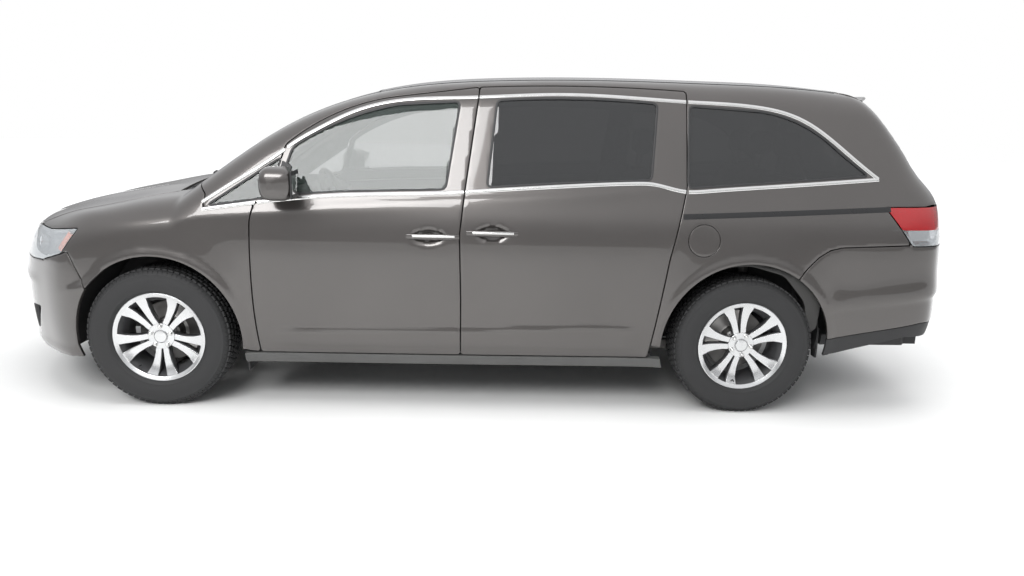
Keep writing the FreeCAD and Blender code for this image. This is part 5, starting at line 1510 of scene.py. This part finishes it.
# Steering wheel on its column
column = {"centre": np.array([frontX - 800, 370.0, 1010.0]), "grip": 186.0,
          "tilt": np.array([-0.92, 0, 0.39]) / math.hypot(0.92, 0.39)}
wheelUp = np.array([column["tilt"][2], 0, -column["tilt"][0]])


def onColumn(data):
    v = data[0]
    flat = v[:, 1:2] * wheelUp - v[:, :1] * np.array([0, 1.0, 0])
    return column["centre"] + flat + v[:, 2:] * column["tilt"], data[1], data[2]


gripShape = [(column["grip"] + 14.5 * math.cos(a),
              16.5 * math.sin(a)) for a in np.linspace(0, 2 * math.pi, 24, endpoint=False)]
grip = turned(gripShape, column["centre"], column["tilt"], 120)
piece("steeringGrip", grip, cabinDark, "steering", ("steering_wheel",))


def padTaper(v):
    return v * np.stack([1 + 0.0012 * v[:, 1], np.ones(len(v)), np.ones(len(v))], 1)


pad = boxData((150, 118, 38), 17.0, (0, -6, -4), segments=5, bend=padTaper)
spokes = [boxData((92, 34, 15), 7.0, (s * 122, -4, -12), (0, 0, s * -6)) for s in (-1, 1)]
lowSpokes = [boxData((26, 110, 13), 6.0, (s * 34, -118, -14), (0, 0, s * 12)) for s in (-1, 1)]
hubBody = turned([(0.4, -30), (56, -30), (60, -24), (60, -10), (0.4, -10)], (0, 0, 0), (0, 0, 1), 48)
piece("steeringMiddle", onColumn(joinedData(pad, *spokes, *lowSpokes, hubBody)), cabinDark, "steering")
accents = [boxData((34, 22, 5), 2.2, (s * 112, -4, -1)) for s in (-1, 1)]
piece("steeringAccents", onColumn(joinedData(*accents)), satinChrome, "steering")
around = [math.cos(a) * np.array([0, 1.0, 0]) + math.sin(a) * wheelUp for a in np.linspace(0, 2 * math.pi, 160)]
ringPath = [tuple(column["centre"] + (column["grip"] - 13.5) * q + column["tilt"] * 4) for q in around]
stitches("steeringStitches", [ringPath], "steering", "cabin_plastic", 0.0085, 0.0008)
back = column["tilt"] * -1
shroud = swept(np.array([column["centre"] + back * d for d in (38, 70, 120, 190)]), (0, 0, 1), disc(1.0, 28, 0.9),
               scale=(36, 48, 56, 60))
stalks = [tubeData([column["centre"] + back * 62 + np.array([0, s * 30, 0]),
                    column["centre"] + back * 40 + np.array([0, s * 96, 8]),
                    column["centre"] + back * 30 + np.array([0, s * 158, 14])], 6.5) for s in (-1, 1)]
piece("steeringColumn", joinedData(shroud, *stalks), cabinDark, "root")

# Dashboard: a bent loft with its hood over the gauges, vents, screen and console
dash = {"half": 742.0, "face": frontX - 702, "bow": 0.00006, "hoodLift": 30.0, "hoodReach": 24.0, "driver": 370.0}
dashSection = [(-486, 640), (-486, 1062), (-560, 1080), (-640, 1066), (-682, 1030), (-694, 985), (-672, 940),
               (-648, 880), (-668, 812), (-646, 720), (-610, 650)]


def dashFace(y):
    return dash["face"] + dash["bow"] * y * y


dashRows = []
for y in np.linspace(-dash["half"], dash["half"], 75):
    over = math.exp(-((y - dash["driver"]) / 160) ** 4)
    row = []
    for x, z in spaced(trace([(x, z) for x, z in dashSection], 12.0, 16.0), 14.0):
        top = step01(z, 985, 1045) * step01(-x, 560, 640)
        row.append((frontX + x + (dashFace(y) - frontX + 694) * step01(-x, 500, 620) - dash["hoodReach"] * over * top,
                    y, z + dash["hoodLift"] * over * top - 0.00004 * y * y * step01(z, 640, 940)))
    dashRows.append(row)
piece("dashTop", ringSkin(dashRows), cabinDark, "root", ("dashboard",))
cluster = boxData((14, 252, 70), 5.0, (dashFace(370) - 1, dash["driver"], 1019), (0, 12, 0))
screen = boxData((16, 214, 118), 6.0, (dashFace(0) - 6, 0, 1006), (0, 8, 0))
piece("dashScreens", joinedData(cluster, screen), pillarBlack, "root")
console = ringSkin([[(x, w * c, 402 + (top - 402) * s) for c,
                     s in ((-1, 0), (-1, 0.9), (-0.88, 1), (0.88, 1), (1, 0.9), (1, 0))]
                    for x, w, top in ((frontX - 640, 120, 940), (frontX - 700, 120, 905), (frontX - 745, 114, 790),
                                      (frontX - 775, 108, 660), (frontX - 782, 104, 560))])
piece("dashConsole", console, cabinDark, "root")
plates = [boxData((10, 226, 34), 4.0, (dashFace(0) - 2, 0, 918), (0, -10, 0)),
          boxData((9, 200, 22), 4.0, (dashFace(0) - 8, 0, 872), (0, 30, 0))]
piece("dashFacing", joinedData(*plates), satinChrome, "root")
knobs = [turned([(0.4, -6), (20, -6), (20, 6), (17, 14), (0.4, 15)], (dashFace(0) - 8, y, 918), (-1, 0, 0.1),
                32) for y in (-72, 0, 72)]
piece("dashKnobs", joinedData(*knobs), cabinDark, "root")
glovebox = boxData((16, 330, 150), 7.0, (frontX - 660, -360, 862), (0, -4, 0))
piece("gloveboxLid", glovebox, cabinDark, "root")
ventSlats, ventFrames = [], []
for y in (-660, -170, 170, 655):
    x = dashFace(y) - 3
    ventFrames.append([(x, y + a, 985 + b) for a, b in ((-58, -30), (58, -30), (58, 30), (-58, 30), (-58, -30))])
    ventSlats += [[(x + 2, y - 57, 985 + d), (x + 2, y + 57, 985 + d)] for d in (-20, -10, 0, 10, 20)]
bars("dashVents", ventSlats, 9.0, 3.0, 0.8, cabinDark, "root", "cabin_plastic")
bars("dashVentFrames", ventFrames, 6.0, 8.0, 1.5, satinChrome, "root", "bright_trim")
seamPath = [(dashFace(y) + 6, y, 958) for y in np.linspace(-735, 735, 60)]
stitches("dashStitches", [seamPath], "root", "cabin_plastic", 0.009, 0.0009)
print("stage: dashboard")

# Seats: soft forms blown up by a short cloth simulation, then grooves and stitches laid on them
seatShape = {"cushion": (478.0, 520.0, 128.0), "back": (472.0, 610.0, 108.0), "head": (246.0, 150.0, 84.0),
             "voxel": 22.0, "pressure": 4.0, "frames": 16, "most": 14.0, "groove": 6.0, "grooveWidth": 9.0}


def cushionForm(size, dish, side, taper=0.0, dense=14.0):
    width, depth, height = size
    across = np.linspace(-1, 1, int(width / dense))

    def bolster(u):
        return step01(abs(u), 0.5, 0.82) - 0.7 * step01(abs(u), 0.86, 1.0)
    rows = []
    for v in np.linspace(-1, 1, int(depth / dense)):
        pinch = 1 - taper * (v + 1) / 2 - 0.035 * abs(v) ** 4
        edge = math.sqrt(max(1 - abs(v) ** 7, 0.02))
        upper = [(u * width / 2 * pinch * (0.965 + 0.035 * edge), v * depth / 2 * (1 - 0.03 * u * u),
                  edge * (height / 2 * (1 - 0.5 * abs(u) ** 9) + side * bolster(u))
                  - dish * (1 - u * u) * (1 - v * v)) for u in across]
        lower = [(u * width / 2 * pinch * 0.95, v * depth / 2 * 0.97, -height / 2 * edge) for u in across[::-1]]
        rows.append(upper + lower)
    return ringSkin(rows)


def evaluated(obj):
    return bpy.data.meshes.new_from_object(obj.evaluated_get(bpy.context.evaluated_depsgraph_get()))


# Evens out a form, blows it up a little and presses the grooves in
def inflated(data, most, lines=()):
    obj = meshObject("seatDraft", data, seatCloth)
    remesh = obj.modifiers.new("even", "REMESH")
    remesh.mode, remesh.voxel_size = "VOXEL", seatShape["voxel"] * 0.001
    even = evaluated(obj)
    obj.modifiers.clear()
    obj.data = even
    start = np.array([v.co[:] for v in even.vertices])
    cloth = obj.modifiers.new("air", "CLOTH")
    cloth.settings.quality = 4
    cloth.settings.mass = 0.3
    cloth.settings.tension_stiffness = cloth.settings.compression_stiffness = cloth.settings.shear_stiffness = 18.0
    cloth.settings.bending_stiffness = 2.0
    cloth.settings.use_pressure = True
    cloth.settings.uniform_pressure_force = seatShape["pressure"]
    cloth.settings.effector_weights.gravity = 0.0
    cloth.collision_settings.use_collision = False
    cloth.point_cache.frame_start, cloth.point_cache.frame_end = 1, seatShape["frames"]
    for number in range(1, seatShape["frames"] + 1):
        scene.frame_set(number)
    soft = evaluated(obj)
    scene.frame_set(1)
    obj.modifiers.clear()
    shift = np.array([v.co[:] for v in soft.vertices]) - start
    length = np.maximum(np.linalg.norm(shift, axis=1), 1e-9)[:, None]
    for vertex, co in zip(even.vertices, start + shift * np.minimum(1.0, most * 0.001 / length)):
        vertex.co = co
    fine = obj.modifiers.new("fine", "SUBSURF")
    fine.levels = fine.render_levels = 1
    smooth = evaluated(obj)
    bpy.data.objects.remove(obj)
    v = np.array([q.co[:] for q in smooth.vertices]) * 1000
    if lines:
        gapTo = nearness(v[:, :2], lines, 40.0)
        v[:, 2] -= seatShape["groove"] * np.exp(-(gapTo / seatShape["grooveWidth"]) ** 2) * (v[:, 2] > 0)
    return v, [list(f.vertices) for f in smooth.polygons], np.zeros(len(v))


# Lines of the grooves on a cushion, two along it and some across
def channels(size, across, taper):
    w, d = size[0] / 2, size[1] / 2

    def narrow(v):
        return 1 - taper * (v + 1) / 2
    lines = [np.array([(s * w * 0.56 * narrow(v), v * d) for v in np.linspace(-0.86, 0.86, 40)]) for s in (-1, 1)]
    return lines + [np.array([(u * w * 0.55 * narrow(v), v * d) for u in np.linspace(-1, 1, 24)]) for v in across]


# Puts lines on the upper face of a cushion
def raised(data, lines):
    v = data[0][data[0][:, 2] > 0]
    return [np.array([(x, y, v[np.argmin((v[:, 0] - x) ** 2 + (v[:, 1] - y) ** 2), 2] + 0.8) for x,
                      y in line]) for line in lines]


cushionLines = channels(seatShape["cushion"], (-0.42, 0.1), 0.0)
backLines = channels(seatShape["back"], (-0.5, 0.0, 0.5), 0.14)
cushion = inflated(cushionForm(seatShape["cushion"], 12.0, 20.0), seatShape["most"], cushionLines)
backrest = inflated(cushionForm(seatShape["back"], 14.0, 24.0, 0.14), seatShape["most"], backLines)
headRest = inflated(cushionForm(seatShape["head"], -6.0, 0.0), 8.0)
cushionLines, backLines = raised(cushion, cushionLines), raised(backrest, backLines)
print("stage: cushions blown up")


def seated(data, stretch, at, lean):
    return placed((data[0] * np.asarray(stretch, float), data[1], data[2]), at, (90.0, lean), "ZY")


for row, x, offsets, share, node in (("front", frontX - 1440, (370, -370), 1.0, "front_seats"),
                                     ("middle", frontX - 2380, (370, -370), 0.97, "middle_seats"),
                                     ("third", frontX - 3190, (410, 0, -410), 0.82, "third_row_seat")):
    reach = seatShape["cushion"][0] / 2 * share
    lines, shells, rails, posts = [], [], [], []
    for y, side in zip(offsets, ("Left", "Right") if len(offsets) == 2 else ("Left", "Middle", "Right")):
        places = (("Cushion", cushion, (x + 205, y, 634), -6.0, cushionLines),
                  ("Back", backrest, (x - 92, y, 952), 83.0, backLines),
                  ("Head", headRest, (x - 150, y, 1386), 82.0, []))
        for label, data, at, lean, seams in places:
            stretch = (1, 1, 1) if label == "Head" else (share, 1, 1)
            covered = (node,) if label == "Cushion" and y == offsets[0] else ()
            made = piece(f"{row}Seat{side}{label}", seated(data, stretch, at, lean), seatCloth, "root",
                         covered)
            lines += [[tuple(q) for q in seated((line, [], []), stretch, at, lean)[0]] for line in seams]
        posts += [tubeData([(x - 124, y + s * 62, 1215), (x - 140, y + s * 62, 1330)], 6.5) for s in (-1, 1)]
        shells += [boxData((470, 2 * reach - 24, 34), 12.0, (x + 208, y, 585), (0, -5, 0)),
                   boxData((22, 1.6 * reach, 560), 9.0, (x - 152, y, 948), (0, -7, 0))]
        shells += [boxData((400, 16, 78), 7.0, (x + 130, y + s * (reach - 6), 590)) for s in (-1, 1)]
        shells += [boxData((330, 46, 150), 8.0, (x + 190, y + s * (reach - 70), 488), segments=2) for s in (-1, 1)]
        rails += [boxData((430, 34, 22), 4.0, (x + 190, y + s * (reach - 70), 413), segments=2) for s in (-1, 1)]
        if row != "third":
            shells.append(boxData((300, 50, 44), 18.0, (x + 60, y - math.copysign(reach + 8, y), 842), (0, -2, 0)))
    piece(f"{row}SeatShells", joinedData(*shells), cabinDark, "root")
    piece(f"{row}SeatRails", joinedData(*rails), discSteel, "root")
    piece(f"{row}SeatPosts", joinedData(*posts), satinChrome, "root")
    stitches(f"{row}SeatStitches", lines, "root", "seat_fabric", 0.012, 0.0012)
print("stage: seats")

# Linings: floor covering, headliner, door trims with armrests, quarter and tailgate trims
trims = {"depth": 34.0, "wall": 18.0, "armHeight": 812.0, "armSpread": 40.0, "armReach": 46.0}
carpetRows = []
for x in np.linspace(frontX - 3220, frontX - 640, 70):
    reach = 620 + 150 * step01(x, frontX - 2530, frontX - 2450) * step01(-x, 700 - frontX, 790 - frontX)
    top = [(x, reach * u, 403 + 2.0 * math.sin(x * 0.02)) for u in (-1, -0.5, 0, 0.5, 1)]
    carpetRows.append(top + [(x, reach, 398), (x, -reach, 398)])
piece("cabinCarpet", ringSkin(carpetRows), carpet, "root")


def armShape(p, n, flat, marks):
    rest = np.exp(-((p[:, 2] - trims["armHeight"]) / trims["armSpread"]) ** 2)
    pocket = np.exp(-((p[:, 2] - 470) / 60) ** 2)
    return p - n * ((trims["armReach"] * rest + 22.0 * pocket) * step01(marks, 4, 70))[:, None]


for name, corners, body in (("doorTrim", [(-560, 400), (-545, 640), (-548, 960), (-600, 1030), (-950, 1052),
                                          (-1390, 1068), (-1470, 1050),
                                          (-1466, 900), (-1478, 640), (-1480, 400)], "door_{}"),
                            ("slideTrim", [(-1590, 400), (-1590, 640), (-1582, 900), (-1600, 1070), (-1950, 1100),
                                           (-2560, 1124),
                                           (-2620, 1030), (-2560, 800), (-2500, 520), (-2480, 400)], "root"),
                            ("quarterTrim", [(-2700, 760), (-2690, 1120), (-3000, 1130), (-3420, 1150), (-3400, 900),
                                             (-3380, 440),
                                             (-3330, 440), (-3300, 600), (-3180, 740), (-3000, 790), (-2820, 776)],
                             "root")):
    ring = trace([(frontX + x, z) for x, z in corners], 12.0, 30.0)
    data = panelData(sideView, [sideView.flat(np.insert(ring, 1, 0.0, axis=1))], sink=trims["depth"],
                     wall=trims["wall"], step=24.0, edge=4.0, shape=armShape)
    pair(name, data, cabinDark, body)
doorPull = tubeData([(frontX - 1190, 905, 868), (frontX - 1150, 884, 884), (frontX - 1010, 884, 884),
                     (frontX - 970, 905, 868)], 8.0)
pair("doorPull", doorPull, satinChrome, "door_{}")
headliner = formPanel(topView, [wideRing(roofHalf)], wall=7.0, sink=38.0, step=44.0, drawn=70.0, corner=40.0)
piece("headliner", headliner, liningCloth, "root")
hatchTrim = panelData(hatchView, [grown(hatchOuter, -26.0)], [grown(paneHole, 8.0)], wall=16.0, sink=12.0, step=30.0,
                      edge=4.0, shape=hatchShape)
piece("hatchTrim", hatchTrim, cabinDark, "tailgate_lid")
print("stage: linings")

# The plain parts under the skin keep their own meshes and only take a finish
for finish, names in ((underBlack, ("body_frame", "wheel_liners", "fuel_tank")), (exhaustSteel, ("exhaust",)),
                      (castIron, ("front_suspension", "rear_axle", "engine_block", "knuckle_left", "knuckle_right"))):
    for name in names:
        bpy.data.objects[name].data.materials.clear()
        bpy.data.objects[name].data.materials.append(finish)
print("stage: plain parts")


# A pale floor that fades into the backdrop, a dome and three lamps, in metres
room = {"floor": 40.0, "below": 0.0005, "plain": 3.4, "fade": 0.16}


def studio():
    floorFinish = Finish("studioFloor")
    soft = floorFinish.noise(3.0, 3.0)
    away = floorFinish.node("ShaderNodeVectorMath", {"operation": "LENGTH"}, {0: floorFinish.coords()}, out=1)
    glow = floorFinish.maths("MULTIPLY", floorFinish.maths("SUBTRACT", away, room["plain"]), room["fade"], True)
    floorFinish.surface(colour=floorFinish.mixed(soft, rgb(0.80, 0.80, 0.79), rgb(0.84, 0.84, 0.83)), roughness=0.55,
                        glow=floorFinish.mixed(glow, rgb(0, 0, 0), rgb(0.5, 0.5, 0.5)), glowStrength=1.0)
    bm = bmesh.new()
    bmesh.ops.create_circle(bm, cap_ends=True, segments=96, radius=room["floor"])
    mesh = bpy.data.meshes.new("studioFloor")
    bm.to_mesh(mesh)
    bm.free()
    mesh.materials.append(floorFinish.material)
    floor = bpy.data.objects.new("studioFloor", mesh)
    floor.location.z = -room["below"]
    scene.collection.objects.link(floor)
    world = bpy.data.worlds.new("studioWorld")
    world.use_nodes = True
    scene.world = world
    f = Finish("studioWorld", world)
    path = f.node("ShaderNodeLightPath")
    nodes = path.socket.node.outputs
    camera, glossy, through = (Sum(f, nodes[k]) for k in ("Is Camera Ray", "Is Glossy Ray", "Is Transmission Ray"))
    seen = f.maths("MAXIMUM", camera, f.maths("MAXIMUM", glossy, through))
    way = f.node("ShaderNodeTexCoord", out=0)
    height = f.node("ShaderNodeSeparateXYZ", None, {0: way}, out=2)
    dome = f.node("ShaderNodeValToRGB", {"stops": [(0.0, rgb(0.30, 0.30, 0.30)), (0.12, rgb(0.34, 0.35, 0.36)),
                                                   (0.34, rgb(0.62, 0.63, 0.65)), (1.0, rgb(0.80, 0.81, 0.83))]},
                  {0: height})
    mirror = f.node("ShaderNodeValToRGB", {"stops": [(0.0, rgb(0.32, 0.32, 0.32)), (0.10, rgb(0.44, 0.44, 0.45)),
                                                     (0.34, rgb(0.90, 0.91, 0.92)), (1.0, rgb(1.1, 1.1, 1.12))]},
                    {0: height})
    plain = f.mixed(camera, mirror, rgb(1.0, 1.0, 1.0))
    light = f.mixed(seen, dome, plain)
    shader = f.node("ShaderNodeBackground", None, {0: light, 1: 1.0})
    f.node("ShaderNodeOutputWorld", None, {0: shader})
    for name, at, spread, power in (("keyLamp", (2.5, 6.5, 5.5), (5.0, 3.0), 420.0),
                                    ("topLamp", (-0.5, 1.0, 6.5), (7.0, 4.0), 330.0),
                                    ("farLamp", (-3.0, -7.0, 4.0), (5.0, 3.0), 230.0)):
        lamp = bpy.data.lights.new(name, "AREA")
        lamp.shape, lamp.size, lamp.size_y, lamp.energy = "RECTANGLE", spread[0], spread[1], power
        obj = bpy.data.objects.new(name, lamp)
        obj.location = at
        aim = Vector((0, 0, 0.8)) - Vector(at)
        obj.rotation_euler = aim.to_track_quat("-Z", "Y").to_euler()
        obj.visible_glossy = name == "keyLamp"
        scene.collection.objects.link(obj)


# The camera fitted to the photograph
def photoCamera():
    view = {"place": (-0.108, 4.620, 1.483), "yaw": -1.817, "pitch": 12.773, "roll": -1.402, "lens": 26.0}
    right, out = Vector((-1, 0, 0)), Vector((0, -1, 0))
    yaw = Matrix.Rotation(math.radians(view["yaw"]), 3, Vector((0, 0, 1)))
    right, out = yaw @ right, yaw @ out
    up = Vector((0, 0, 1))
    pitch = Matrix.Rotation(math.radians(-view["pitch"]), 3, right)
    out, up = pitch @ out, pitch @ up
    roll = Matrix.Rotation(math.radians(view["roll"]), 3, out)
    right, up = roll @ right, roll @ up
    camera = bpy.data.cameras.new("photoCamera")
    camera.lens, camera.sensor_width = view["lens"], 36.0
    obj = bpy.data.objects.new("photoCamera", camera)
    basis = Matrix((right, up, -out)).transposed()
    obj.matrix_world = Matrix.Translation(view["place"]) @ basis.to_4x4()
    scene.collection.objects.link(obj)
    scene.camera = obj


studio()
photoCamera()
print("stage: studio and camera")
